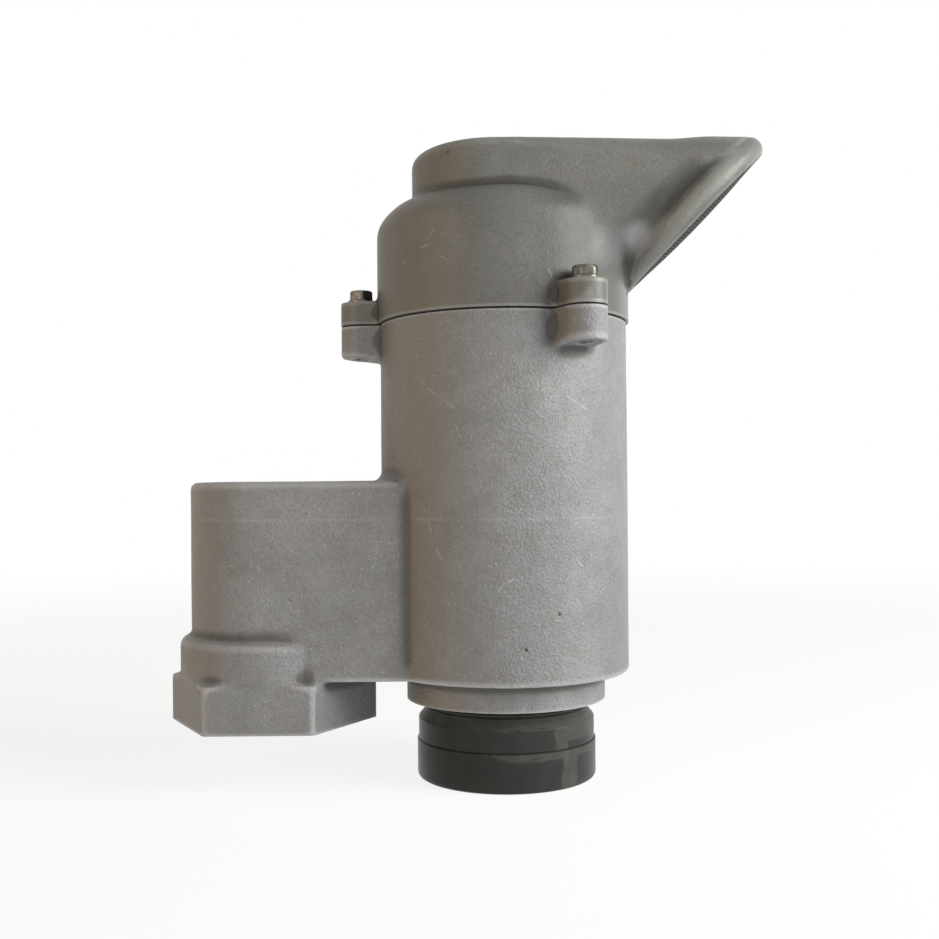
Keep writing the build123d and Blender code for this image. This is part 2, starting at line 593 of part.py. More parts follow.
def pressure_seat_body():
    """The pressure seat: a cup held at the seam, with a port, a raised lip and a three-rib guide."""
    seat = turned(SEAT_FLANGE_RADIUS, SEAT_FLANGE_BOTTOM, BODY_TOP)
    seat += turned(ELEMENT_RADIUS, SEAT_SKIRT_BOTTOM, SEAT_FLANGE_BOTTOM)
    seat -= turned(ELEMENT_RADIUS - SEAT_SKIRT_WALL, SEAT_SKIRT_BOTTOM, SEAT_PLATE_BOTTOM)
    seat -= turned(ELEMENT_RADIUS - SEAT_SKIRT_WALL, SEAT_PLATE_TOP, BODY_TOP)
    seat += turned(SEAT_PORT_RADIUS + SEAT_LIP_WIDTH, SEAT_PLATE_TOP, SEAT_LIP_TOP)
    seat -= turned(SEAT_PORT_RADIUS, SEAT_PLATE_BOTTOM, SEAT_LIP_TOP)
    guide = turned(GUIDE_RADIUS, GUIDE_BOTTOM, GUIDE_BOTTOM + GUIDE_HEIGHT)
    rib_low = SEAT_PLATE_BOTTOM - GUIDE_RIB_HEIGHT
    reach = SEAT_PORT_RADIUS + GUIDE_RIB_BITE
    for rib in spokes(GUIDE_RIBS, 0, reach, GUIDE_RIB_WIDTH, rib_low, SEAT_PLATE_BOTTOM):
        guide += rib
    return seat + guide - turned(PRESSURE_STEM_RADIUS + STEM_FIT, GUIDE_BOTTOM, SEAT_PLATE_TOP)


def pallet(radius, low, stem):
    """A pallet: a disc with a turned-up edge."""
    high = low + PALLET_THICKNESS
    disc = turned(radius, low, high, stem)
    rim = turned(radius, high, high + PALLET_RIM, radius - PALLET_RIM)
    return disc + rim


def stem(radius, low, high):
    """A valve stem with chamfered ends."""
    rod = turned(radius, low, high)
    return chamfer(rod.edges().filter_by(GeomType.CIRCLE), radius * STEM_CHAMFER)


def nut(flats, low, height, bore):
    """A hex nut on the body's axis."""
    return hexagon(flats, low, low + height) - turned(bore, low, low + height)


def pressure_valve():
    """The pieces that rise with the pressure pallet, by node name."""
    rod = PRESSURE_STEM_RADIUS
    retainer = SEAT_PORT_RADIUS - RETAINER_CLEARANCE
    lower_nut_top = SEAT_LIP_TOP - RETAINER_THICKNESS
    nuts = [
        nut(PRESSURE_NUT_FLATS, WEIGHT_TOP, PRESSURE_NUT_HEIGHT, rod),
        nut(LOWER_NUT_FLATS, lower_nut_top - LOWER_NUT_HEIGHT, LOWER_NUT_HEIGHT, rod),
    ]
    weight = turned(WEIGHT_RADIUS, WEIGHT_BOTTOM, WEIGHT_TOP, rod)
    weight_rims = weight.edges().filter_by(GeomType.CIRCLE).group_by(SortBy.RADIUS)[-1]
    return {
        "pressure_pallet": pallet(PRESSURE_PALLET_RADIUS, PRESSURE_PALLET_BOTTOM, rod),
        "pressure_seal_disc": turned(
            PRESSURE_PALLET_RADIUS - SEAL_INSET, SEAT_LIP_TOP, PRESSURE_PALLET_BOTTOM, rod
        ),
        "pressure_seal_retainer": turned(retainer, lower_nut_top, SEAT_LIP_TOP, rod),
        "pressure_stem": stem(rod, ELEMENT_TOP - PRESSURE_STEM_TAIL, PRESSURE_STEM_TOP),
        "pressure_stem_nuts": nuts,
        "pressure_weight": chamfer(weight_rims, WEIGHT_CHAMFER),
    }


def vacuum_housing():
    """The dark turned housing: thread, neck, two bands, valve port and the pocket for its flame element."""
    thread = HOUSING_THREAD_RADIUS - HOUSING_THREAD_FIT
    lip = HOUSING_PORT_RADIUS + VACUUM_LIP_WIDTH
    profile = Polyline(
        (HOUSING_POCKET_RADIUS, HOUSING_BOTTOM),
        (HOUSING_BASE_RADIUS, HOUSING_BOTTOM),
        (HOUSING_BASE_RADIUS, HOUSING_STEP),
        (HOUSING_BAND_RADIUS, HOUSING_STEP),
        (HOUSING_BAND_RADIUS, HOUSING_BAND_TOP),
        (HOUSING_NECK_RADIUS, HOUSING_NECK_BOTTOM),
        (HOUSING_NECK_RADIUS, HOUSING_NECK_TOP),
        (thread, HOUSING_NECK_TOP),
        (thread, HOUSING_TOP),
        (lip, HOUSING_TOP),
        (lip, VACUUM_LIP_TOP),
        (HOUSING_PORT_RADIUS, VACUUM_LIP_TOP),
        (HOUSING_PORT_RADIUS, SPIDER_SEAT),
        (HOUSING_LOWER_PORT_RADIUS, SPIDER_SEAT),
        (HOUSING_LOWER_PORT_RADIUS, HOUSING_POCKET_TOP),
        (HOUSING_POCKET_RADIUS, HOUSING_POCKET_TOP),
        close=True,
    )
    housing = revolve(Plane.XZ * make_face(profile), Axis.Z)
    groove = HOUSING_POCKET_RADIUS + SNAP_GROOVE_DEPTH
    return housing - turned(groove, SNAP_RING_BOTTOM, VACUUM_SCREEN_BOTTOM)


def vacuum_guide_spider():
    """The pressed-in guide of the vacuum stem: ring, hub and three ribs."""
    high = SPIDER_SEAT + SPIDER_HEIGHT
    outer = HOUSING_PORT_RADIUS - SPIDER_FIT
    inner = outer - SPIDER_RING_WIDTH
    spider = turned(outer, SPIDER_SEAT, high, inner) + turned(SPIDER_HUB_RADIUS, SPIDER_SEAT, high)
    for rib in spokes(SPIDER_RIBS, 0, inner + SPIDER_RING_WIDTH / 2, SPIDER_RIB_WIDTH, SPIDER_SEAT, high):
        spider += rib
    return spider - turned(VACUUM_STEM_RADIUS + STEM_FIT, SPIDER_SEAT, high)


def vacuum_valve():
    """The pieces that rise with the vacuum pallet, by node name."""
    rod = VACUUM_STEM_RADIUS
    retainer = HOUSING_PORT_RADIUS - RETAINER_CLEARANCE
    seal = VACUUM_PALLET_RADIUS - SEAL_INSET
    nuts = [
        nut(VACUUM_NUT_FLATS, VACUUM_PALLET_TOP, VACUUM_NUT_HEIGHT, rod),
        nut(VACUUM_NUT_FLATS, VACUUM_STOP_BOTTOM, VACUUM_NUT_HEIGHT, rod),
    ]
    return {
        "vacuum_pallet": pallet(VACUUM_PALLET_RADIUS, VACUUM_PALLET_BOTTOM, rod),
        "vacuum_seal_disc": turned(seal, VACUUM_LIP_TOP, VACUUM_PALLET_BOTTOM, rod),
        "vacuum_seal_retainer": turned(retainer, VACUUM_LIP_TOP - RETAINER_THICKNESS, VACUUM_LIP_TOP, rod),
        "vacuum_stem": stem(rod, VACUUM_STEM_BOTTOM, VACUUM_PALLET_TOP + VACUUM_NUT_HEIGHT + STEM_END),
        "vacuum_stem_nuts": nuts,
    }


def snap_ring():
    """The open ring that keeps the bottom screen in its groove."""
    outer = HOUSING_POCKET_RADIUS + SNAP_GROOVE_DEPTH - SNAP_RING_FIT
    ring = turned(outer, SNAP_RING_BOTTOM, VACUUM_SCREEN_BOTTOM, outer - SNAP_RING_WIDTH)
    gap = Pos(0, 0, SNAP_RING_BOTTOM) * Box(
        SNAP_RING_GAP, 2 * outer, SNAP_RING_THICKNESS, align=(Align.CENTER, Align.MAX, Align.MIN)
    )
    return ring - gap


def flame_elements():
    """The main element and the vacuum element, by node name."""
    shroud = ELEMENT_RADIUS - ELEMENT_SHROUD_WALL
    flat, crimped = ribbons(ELEMENT_CORE_RADIUS, shroud, ELEMENT_BOTTOM, ELEMENT_TOP)
    gasket_bore = ELEMENT_RADIUS - SEAT_SKIRT_WALL
    small = VACUUM_ELEMENT_RADIUS - VACUUM_SHROUD_WALL
    low, high = VACUUM_ELEMENT_BOTTOM, HOUSING_POCKET_TOP
    small_flat, small_crimped = ribbons(VACUUM_CORE_RADIUS, small, low, high)
    return {
        "element_lower_grid": grid(ELEMENT_RADIUS, LEDGE_TOP),
        "element_shroud": turned(ELEMENT_RADIUS, ELEMENT_BOTTOM, ELEMENT_TOP, shroud),
        "element_core": turned(ELEMENT_CORE_RADIUS, ELEMENT_BOTTOM, ELEMENT_TOP, CORE_BORE),
        "element_flat_ribbon": flat,
        "element_crimped_ribbon": crimped,
        "element_upper_grid": grid(ELEMENT_RADIUS, ELEMENT_TOP, CORE_BORE),
        "element_gasket": turned(ELEMENT_RADIUS, UPPER_GRID_TOP, SEAT_SKIRT_BOTTOM, gasket_bore),
        "vacuum_element_shroud": turned(VACUUM_ELEMENT_RADIUS, low, high, small),
        "vacuum_element_core": turned(VACUUM_CORE_RADIUS, low, high),
        "vacuum_element_flat_ribbon": small_flat,
        "vacuum_element_crimped_ribbon": small_crimped,
        "vacuum_screen": screen(VACUUM_ELEMENT_RADIUS, VACUUM_SCREEN_BOTTOM),
    }


def assembly():
    """Every sub-part by node name, about the body's axis."""
    return {
        "body_casting": body_casting(),
        "hood_casting": hood_casting(),
        "hood_gasket": hood_gasket(),
        "hood_screws": hood_screws(),
        "screw_lock_washers": lock_washers(),
        "mouth_screen": mouth_screen(),
        "mouth_screen_ring": mouth_screen_ring(),
        "pressure_seat_body": pressure_seat_body(),
        "vacuum_housing": vacuum_housing(),
        "vacuum_housing_gasket": turned(
            HOUSING_NECK_RADIUS, HOUSING_NECK_TOP, BOSS_BOTTOM, HOUSING_THREAD_RADIUS
        ),
        "vacuum_guide_spider": vacuum_guide_spider(),
        "vacuum_screen_snap_ring": snap_ring(),
        **flame_elements(),
        **pressure_valve(),
        **vacuum_valve(),
    }


def solids_of(shape):
    """The separate solids of a node, as a flat list."""
    if isinstance(shape, list):
        return [solid for piece in shape for solid in piece.solids()]
    return list(shape.solids())


os.makedirs("parts", exist_ok=True)
for name, shape in assembly().items():
    moved = [Pos(AXIS_OFFSET, 0, 0) * solid for solid in solids_of(shape)]
    export_step(moved[0] if len(moved) == 1 else Compound(children=moved), f"parts/{name}.step")
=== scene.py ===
import math

import bmesh
import bpy
import numpy as np
from mathutils import Euler, Matrix, Vector, noise


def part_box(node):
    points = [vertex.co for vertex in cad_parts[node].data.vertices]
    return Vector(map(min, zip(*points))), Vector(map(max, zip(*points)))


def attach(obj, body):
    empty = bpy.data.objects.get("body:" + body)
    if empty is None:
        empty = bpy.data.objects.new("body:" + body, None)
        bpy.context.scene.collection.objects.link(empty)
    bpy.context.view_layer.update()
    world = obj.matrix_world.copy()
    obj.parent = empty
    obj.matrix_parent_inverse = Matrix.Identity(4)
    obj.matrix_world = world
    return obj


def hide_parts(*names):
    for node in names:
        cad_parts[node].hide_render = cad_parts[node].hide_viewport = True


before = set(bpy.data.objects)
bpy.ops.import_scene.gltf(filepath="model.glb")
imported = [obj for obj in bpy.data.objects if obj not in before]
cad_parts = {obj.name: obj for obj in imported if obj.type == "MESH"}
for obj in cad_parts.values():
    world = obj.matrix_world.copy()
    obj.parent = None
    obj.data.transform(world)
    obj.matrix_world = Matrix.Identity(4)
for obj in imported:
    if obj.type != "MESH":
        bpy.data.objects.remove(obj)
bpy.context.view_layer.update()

bl_info = {
    "name": "Flame Arrester Finish",
    "version": (1, 0, 0),
    "blender": (4, 5, 0),
    "location": "3D View > Sidebar > Arrester",
    "description": "Builds the finished castings, turned parts, screens and screws of a tank vent",
    "category": "Object",
}

MM = 0.001


def middle_x(node):
    """The x of the middle of a CAD node's box."""
    low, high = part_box(node)
    return (low.x + high.x) / 2


# Places that come from the frame, in metres
AXIS_X = middle_x("vacuum_housing")
BODY_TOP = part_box("hood_gasket")[0].z
HOOD_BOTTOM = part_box("hood_gasket")[1].z
BOSS_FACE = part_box("vacuum_housing_gasket")[1].z
FLOOR_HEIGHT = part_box("vacuum_housing")[0].z
MOUTH_TURN = math.radians(45)
MOUTH_NORMAL = Vector((math.sin(MOUTH_TURN), 0, -math.cos(MOUTH_TURN)))
MOUTH_CENTRE = sum(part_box("mouth_screen"), Vector()) / 2 + MOUTH_NORMAL * 0.5 * MM
SCREW_PLACES = 3


# ---------------------------------------------------------------- sizes and colours

def size_of(name, description, default):
    """A length in metres."""
    return bpy.props.FloatProperty(
        name=name, description=description, default=default, unit="LENGTH", precision=5
    )


def share_of(name, description, default):
    """A plain share from 0 to 1."""
    return bpy.props.FloatProperty(
        name=name, description=description, default=default, min=0, max=1, subtype="FACTOR"
    )


def colour_of(name, description, default):
    """A linear colour."""
    return bpy.props.FloatVectorProperty(
        name=name, description=description, default=default, size=3, min=0, max=1, subtype="COLOR"
    )


class StageSettings(bpy.types.PropertyGroup):
    """Camera, lamps and floor."""

    camera_place: bpy.props.FloatVectorProperty(
        name="Camera place", description="Where the camera stands", size=3,
        default=(0.0855, -0.4882, 0.0968), subtype="TRANSLATION", unit="LENGTH",
    )
    camera_roll: bpy.props.FloatProperty(
        name="Camera roll", description="Turn of the camera about its line of sight",
        default=math.radians(-0.52), unit="ROTATION",
    )
    lens: bpy.props.FloatProperty(
        name="Lens", description="Focal length in millimetres", default=43.59, min=10
    )
    key_power: bpy.props.FloatProperty(
        name="Key lamp power", description="Watts of the big soft lamp at the right", default=11.0
    )
    fill_power: bpy.props.FloatProperty(
        name="Fill lamp power", description="Watts of the warm lamp at the left", default=1.12
    )
    sky_fill: bpy.props.FloatProperty(
        name="Sky fill", description="Strength of the sky's light on the object", default=0.09
    )
    floor_fill: bpy.props.FloatProperty(
        name="Floor fill", description="Share of the floor's glow that lights the object", default=0.42
    )
    floor_reach: size_of("Floor reach", "Half the side of the floor", 6.0)


class CastingSettings(bpy.types.PropertyGroup):
    """The two rough castings."""

    body_grid: size_of("Body grid", "Spacing of the body's surface points", 1.2 * MM)
    hood_grid: size_of("Hood grid", "Spacing of the hood's surface points", 0.85 * MM)
    allowance: size_of("Machining allowance", "Metal cast on and cut away on machined faces", 3 * MM)
    waviness: size_of("Waviness", "Depth of the castings' slow waves", 0.16 * MM)
    body_colour: colour_of("Body colour", "Blasted aluminium", (0.368, 0.370, 0.370))
    hood_colour: colour_of("Hood colour", "Darker aluminium of the hood", (0.228, 0.230, 0.212))
    warm_colour: colour_of("Tarnish", "Brownish film on the castings", (0.25, 0.21, 0.155))


class HousingSettings(bpy.types.PropertyGroup):
    """The dark turned housing under the body."""

    colour: colour_of("Housing colour", "Dark anodised metal", (0.090, 0.095, 0.082))
    damp_colour: colour_of("Damp colour", "Dark damp patches", (0.036, 0.038, 0.039))
    corner: size_of("Corner", "Rounding of the turned corners", 0.5 * MM)
    groove: size_of("Groove", "Depth of the turned rings of the neck", 0.25 * MM)


class ScreenSettings(bpy.types.PropertyGroup):
    """The woven screens."""

    pitch: size_of("Mesh pitch", "Distance between wires", 2.4 * MM)
    wire: size_of("Wire", "Diameter of a wire", 0.62 * MM)
    bulge: size_of("Bulge", "How far the middle of the mouth screen stands out", 1.5 * MM)
    colour: colour_of("Wire colour", "Dull dark wire", (0.045, 0.044, 0.042))


class ScrewSettings(bpy.types.PropertyGroup):
    """Hood screws and lock washers."""

    flats: size_of("Head flats", "Width of the head over its flats", 9.5 * MM)
    head: size_of("Head height", "Height of the head", 4.2 * MM)
    shank: size_of("Shank radius", "Outside radius of the thread", 3.1 * MM)
    thread_pitch: size_of("Thread pitch", "Rise of one turn", 1.27 * MM)
    circle: size_of("Screw circle", "Radius of the circle of screws", 60.6 * MM)
    colour: colour_of("Screw colour", "Worn bright steel", (0.16, 0.15, 0.135))


class RibbonSettings(bpy.types.PropertyGroup):
    """The wound ribbons of the flame elements."""

    wrap: size_of("Wrap", "Distance from one winding to the next", 2.4 * MM)
    crimp: size_of("Crimp", "Distance between the crests", 3.0 * MM)
    foil: size_of("Foil", "Thickness of a ribbon", 0.2 * MM)


SETTINGS = {
    "arrester_stage": StageSettings,
    "arrester_castings": CastingSettings,
    "arrester_housing": HousingSettings,
    "arrester_screens": ScreenSettings,
    "arrester_screws": ScrewSettings,
    "arrester_ribbons": RibbonSettings,
}


# ---------------------------------------------------------------- node trees

class NodeChain:
    """Adds nodes to a tree, with values or other nodes' sockets on their inputs."""

    def __init__(self, tree):
        self.tree = tree

    def put(self, socket, value):
        if isinstance(value, bpy.types.NodeSocket):
            self.tree.links.new(value, socket)
        else:
            socket.default_value = value

    def step(self, kind, inputs=(), **settings):
        node = self.tree.nodes.new(kind)
        for name, value in settings.items():
            setattr(node, name, value)
        for key, value in dict(inputs).items():
            self.put(node.inputs[key], value)
        return node

    def calc(self, operation, first, second=0.0, clamp=False):
        return self.step(
            "ShaderNodeMath", {0: first, 1: second}, operation=operation, use_clamp=clamp
        ).outputs[0]

    def vector(self, x=0.0, y=0.0, z=0.0):
        return self.step("ShaderNodeCombineXYZ", {0: x, 1: y, 2: z}).outputs[0]

    def apart(self, vector):
        return self.step("ShaderNodeSeparateXYZ", {0: vector}).outputs


class Finish(NodeChain):
    """A procedural material on Object coordinates."""

    def __init__(self, name, metallic=0.0, specular=0.5):
        self.material = bpy.data.materials.new(name)
        self.material.use_nodes = True
        super().__init__(self.material.node_tree)
        self.tree.nodes.clear()
        output = self.step("ShaderNodeOutputMaterial")
        self.shader = self.step("ShaderNodeBsdfPrincipled")
        self.put(output.inputs["Surface"], self.shader.outputs["BSDF"])
        self.shader.inputs["Metallic"].default_value = metallic
        self.shader.inputs["Specular IOR Level"].default_value = specular
        self.place = self.step("ShaderNodeTexCoord").outputs["Object"]
        self.axes = self.apart(self.place)
        self.normal = None

    def grain(self, size, detail=2.0, roughness=0.5, stretch=None, distortion=0.0):
        """Noise whose features are about a size across, from 0 to 1."""
        vector = self.place
        if stretch:
            vector = self.step("ShaderNodeMapping", {"Vector": vector, "Scale": stretch}).outputs[0]
        return self.step(
            "ShaderNodeTexNoise",
            {"Vector": vector, "Scale": 1 / size, "Detail": detail, "Roughness": roughness,
             "Distortion": distortion},
        ).outputs["Fac"]

    def cells(self, size, feature="F1"):
        """Distance from the nearest of scattered points, as a share of a size."""
        return self.step(
            "ShaderNodeTexVoronoi", {"Vector": self.place, "Scale": 1 / size}, feature=feature
        ).outputs["Distance"]

    def rise(self, value, low, high, smooth=True):
        """0 below low, 1 above high; the other way round where low is above high."""
        return self.step(
            "ShaderNodeMapRange", {"Value": value, "From Min": low, "From Max": high},
            interpolation_type="SMOOTHSTEP" if smooth else "LINEAR",
        ).outputs["Result"]

    def blend(self, share, first, second, kind="MIX"):
        """A colour between two colours."""
        node = self.step("ShaderNodeMix", data_type="RGBA", blend_type=kind)
        self.put(node.inputs[0], share)
        for socket, value in ((node.inputs[6], first), (node.inputs[7], second)):
            self.put(socket, value if isinstance(value, bpy.types.NodeSocket) else (*value, 1))
        return node.outputs[2]

    def between(self, share, first, second):
        """A number between two numbers."""
        return self.step(
            "ShaderNodeMapRange", {"Value": share, "To Min": first, "To Max": second}
        ).outputs["Result"]

    def relief(self, height, depth, strength=1.0):
        """Bumps of a depth in metres, on top of those before."""
        inputs = {"Height": height, "Distance": depth, "Strength": strength}
        if self.normal:
            inputs["Normal"] = self.normal
        self.normal = self.step("ShaderNodeBump", inputs).outputs["Normal"]

    def near(self, centre, radius, edge):
        """1 within a radius of a point, falling to 0 over an edge."""
        away = self.step(
            "ShaderNodeVectorMath", {0: self.place, 1: centre}, operation="DISTANCE"
        ).outputs["Value"]
        return self.rise(away, radius + edge, radius)

    def scratch(self, start, end, width):
        """1 along a line between two points, 0 away from it."""
        line = Vector(end) - Vector(start)
        from_start = self.step(
            "ShaderNodeVectorMath", {0: self.place, 1: start}, operation="SUBTRACT"
        ).outputs[0]
        along = self.step(
            "ShaderNodeVectorMath", {0: from_start, 1: line / line.length_squared},
            operation="DOT_PRODUCT",
        ).outputs["Value"]
        along = self.calc("MINIMUM", self.calc("MAXIMUM", along, 0.0), 1.0)
        nearest = self.step(
            "ShaderNodeVectorMath", {0: line, "Scale": along}, operation="SCALE"
        ).outputs[0]
        away = self.step(
            "ShaderNodeVectorMath", {0: from_start, 1: nearest}, operation="DISTANCE"
        ).outputs["Value"]
        return self.rise(away, width * 0.75, width * 0.2)

    def most(self, *values):
        """The largest of some numbers."""
        best = values[0]
        for value in values[1:]:
            best = self.calc("MAXIMUM", best, value)
        return best

    def done(self, colour, roughness):
        self.put(self.shader.inputs["Base Color"], colour)
        self.put(self.shader.inputs["Roughness"], roughness)
        if self.normal:
            self.put(self.shader.inputs["Normal"], self.normal)
        return self.material


def cast_metal(name, colour, warm, metallic, grain_depth, painted_glint_share, marks, holes=(), parting_highlight=None, rim=0.0, painted_shade_streaks=(), painted_highlights=()):
    """Blasted cast aluminium: pebbled grain, blotches, tarnish, pits and marks, with painted glints, painted shade and
    painted highlights laid on its colour.
    """
    made = Finish(name, metallic=metallic, specular=0.16)
    coarse = made.grain(1.25 * MM, detail=3, roughness=0.55)
    fine = made.grain(0.5 * MM, detail=2, roughness=0.6)
    pebbles = made.calc("ADD", made.calc("MULTIPLY", coarse, 0.6), made.calc("MULTIPLY", fine, 0.4))
    blotch = made.grain(26 * MM, detail=4, roughness=0.55)
    cloud = made.grain(7 * MM, detail=3, roughness=0.6)
    # Painted glints: bright spots where the fine grain stands high, in place of light catching the blasted surface.
    painted_glint_flecks = made.calc(
        "MULTIPLY", made.rise(fine, 0.60, 0.72), made.rise(made.grain(4 * MM, detail=2), 0.45, 0.65)
    )
    pits = made.calc(
        "MULTIPLY", made.rise(made.cells(9 * MM), 0.05, 0.02), made.rise(cloud, 0.5, 0.6)
    )
    for centre in holes:
        pits = made.calc("MAXIMUM", pits, made.near(centre, 0.3 * MM, 0.7 * MM))
    lighter = [min(1, share * 1.08) for share in colour]
    darker = [share * 0.92 for share in colour]
    shade = made.blend(made.rise(blotch, 0.35, 0.65), darker, lighter)
    shade = made.blend(made.calc("MULTIPLY", made.rise(cloud, 0.4, 0.75), 0.22), shade, warm)
    shade = made.blend(made.calc("MULTIPLY", made.rise(pebbles, 0.56, 0.36), 0.5), shade, [share * 0.7 for share in colour])
    shade = made.blend(made.calc("MULTIPLY", painted_glint_flecks, 0.85), shade, [min(1, s * 1.9) for s in colour])
    shade = made.blend(pits, shade, [share * 0.25 for share in colour])
    facing = made.apart(made.step("ShaderNodeNewGeometry").outputs["Normal"])[0]
    # Painted shade and painted warm reflection: left-facing sides get a darker brownish colour (the film mask), and
    # faces turned fully left a darker one still; film here is painted light, not a coating.
    film = made.calc("MULTIPLY", made.rise(facing, -0.15, -0.75), made.between(cloud, 0.5, 0.9))
    shade = made.blend(film, shade, [colour[0] * 0.95, colour[1] * 0.79, colour[2] * 0.62])
    shade = made.blend(made.calc("MULTIPLY", made.rise(facing, -0.80, -1.0), 0.5), shade,
                       [colour[0] * 0.45, colour[1] * 0.42, colour[2] * 0.36])
    # Rubbed wear and painted highlight: the bead within 9 to 12 mm of the mouth face is made lighter.
    if rim:
        to_face = made.step(
            "ShaderNodeVectorMath", {0: made.place, 1: tuple(MOUTH_NORMAL)}, operation="DOT_PRODUCT"
        ).outputs["Value"]
        depth = made.calc("SUBTRACT", to_face, MOUTH_CENTRE.dot(MOUTH_NORMAL))
        rim_wear_and_highlight = made.calc("MULTIPLY", made.rise(depth, -12 * MM, -9 * MM), made.between(cloud, 0.5, 1.0))
        shade = made.blend(made.calc("MULTIPLY", rim_wear_and_highlight, rim), shade, [min(1, s * 1.7) for s in colour])
    # Painted highlight: a lighter broken line at the parting height, where the draft of the body changes.
    if parting_highlight:
        line = made.rise(made.calc("ABSOLUTE", made.calc("SUBTRACT", made.axes[2], parting_highlight)), 0.9 * MM, 0.2 * MM)
        line = made.calc("MULTIPLY", line, made.rise(made.grain(12 * MM, detail=3), 0.42, 0.6))
        shade = made.blend(made.calc("MULTIPLY", line, 0.3), shade, [min(1, s * 1.5) for s in colour])
        # Painted highlight along the body's bottom rim at the ledge height, on its right part.
        ledge_highlight = made.rise(made.calc("ABSOLUTE", made.calc("SUBTRACT", made.axes[2], LEDGE)), 0.9 * MM, 0.3 * MM)
        ledge_highlight = made.calc("MULTIPLY", ledge_highlight, made.rise(made.axes[0], 33 * MM, 35 * MM))
        shade = made.blend(made.calc("MULTIPLY", ledge_highlight, made.between(cloud, 0.2, 0.9)), shade,
                           [min(1, s * 1.8) for s in colour])
    # Painted shade: dark streaks along the valley behind the spout's bead.
    for start, end, width in painted_shade_streaks:
        painted_light_streak = made.calc("MULTIPLY", made.scratch(start, end, width), made.between(cloud, 0.55, 0.95))
        shade = made.blend(made.calc("MULTIPLY", painted_light_streak, 0.85), shade, [share * 0.42 for share in colour])
    # Painted highlight: light patches on the web between the spout and the shoulder.
    for start, end, width in painted_highlights:
        painted_light_streak = made.calc("MULTIPLY", made.scratch(start, end, width), made.between(cloud, 0.6, 1.0))
        shade = made.blend(made.calc("MULTIPLY", painted_light_streak, 0.9), shade, [colour[0] * 2.05, colour[1] * 2.05, colour[2] * 2.25])
    # Painted shade: faces turned part way to the right are darkened; faces turned fully right are left as they are.
    if painted_highlights:
        painted_side_shade = made.calc("MULTIPLY", made.rise(facing, 0.05, 0.40), made.rise(facing, 0.97, 0.80))
        shade = made.blend(made.calc("MULTIPLY", painted_side_shade, 0.62), shade, [share * 0.45 for share in colour])
    # Painted glints: bright specks on the grain, in place of light catching the blasted surface.
    specks = made.calc("MULTIPLY", made.rise(made.cells(2.6 * MM), 0.15, 0.07), made.rise(fine, 0.4, 0.6))
    shade = made.blend(made.calc("MULTIPLY", specks, painted_glint_share), shade, [min(1, s * 2.1) for s in colour])
    # Dirt and painted shade: broad hollows are darkened.
    hollow = made.step("ShaderNodeAttribute", attribute_name="hollow_dirt_and_shade").outputs["Fac"]
    shade = made.blend(made.calc("MULTIPLY", made.rise(hollow, 0.25, 1.0), 0.7), shade,
                       [colour[0] * 0.34, colour[1] * 0.32, colour[2] * 0.27])
    # Wear and painted light: standing edges are made lighter as wear and painted highlight, creases darker as dirt and
    # painted shade.
    wear_and_light = made.step("ShaderNodeAttribute", attribute_name="edge_wear_and_light").outputs["Fac"]
    bright = made.calc("MULTIPLY", made.rise(wear_and_light, 0.60, 0.92), made.between(cloud, 0.4, 1.0))
    shade = made.blend(made.calc("MULTIPLY", bright, 0.7), shade, [min(1, s * 1.9) for s in colour])
    shade = made.blend(made.calc("MULTIPLY", made.rise(wear_and_light, 0.40, 0.05), 0.8), shade,
                       [share * 0.35 for share in colour])
    rough = made.between(cloud, 0.40, 0.52)
    if marks:
        mark = made.most(*[made.scratch(*one) for one in marks])
        mark = made.calc("MULTIPLY", mark, made.rise(fine, 0.35, 0.6))
        shade = made.blend(made.calc("MULTIPLY", mark, 0.55), shade, [min(1, s * 2.2) for s in colour])
    made.relief(blotch, 0.5 * MM)
    made.relief(pebbles, grain_depth)
    made.relief(pits, 0.5 * MM, strength=0.6)
    return made.done(shade, rough)


def turned_metal(name, colour, metallic, roughness, ring=0.35 * MM):
    """Machined metal with fine rings round the vertical axis of the part."""
    made = Finish(name, metallic=metallic)
    from_axis = made.step(
        "ShaderNodeVectorMath", {0: made.place, 1: (AXIS_X, 0, 0)}, operation="SUBTRACT"
    ).outputs[0]
    x, y, z = made.apart(from_axis)
    radius = made.step("ShaderNodeVectorMath", {0: made.vector(x, y)}, operation="LENGTH").outputs["Value"]
    rings = made.step(
        "ShaderNodeTexNoise",
        {"Vector": made.vector(radius, 0.0, z), "Scale": 1 / ring, "Detail": 2.0},
    ).outputs["Fac"]
    cloud = made.grain(8 * MM, detail=4)
    shade = made.blend(made.rise(cloud, 0.3, 0.7), [s * 0.82 for s in colour], colour)
    shade = made.blend(made.calc("MULTIPLY", rings, 0.35), shade, [min(1, s * 1.3) for s in colour])
    made.relief(rings, 0.02 * MM)
    return made.done(shade, made.between(cloud, roughness * 0.8, roughness * 1.25))


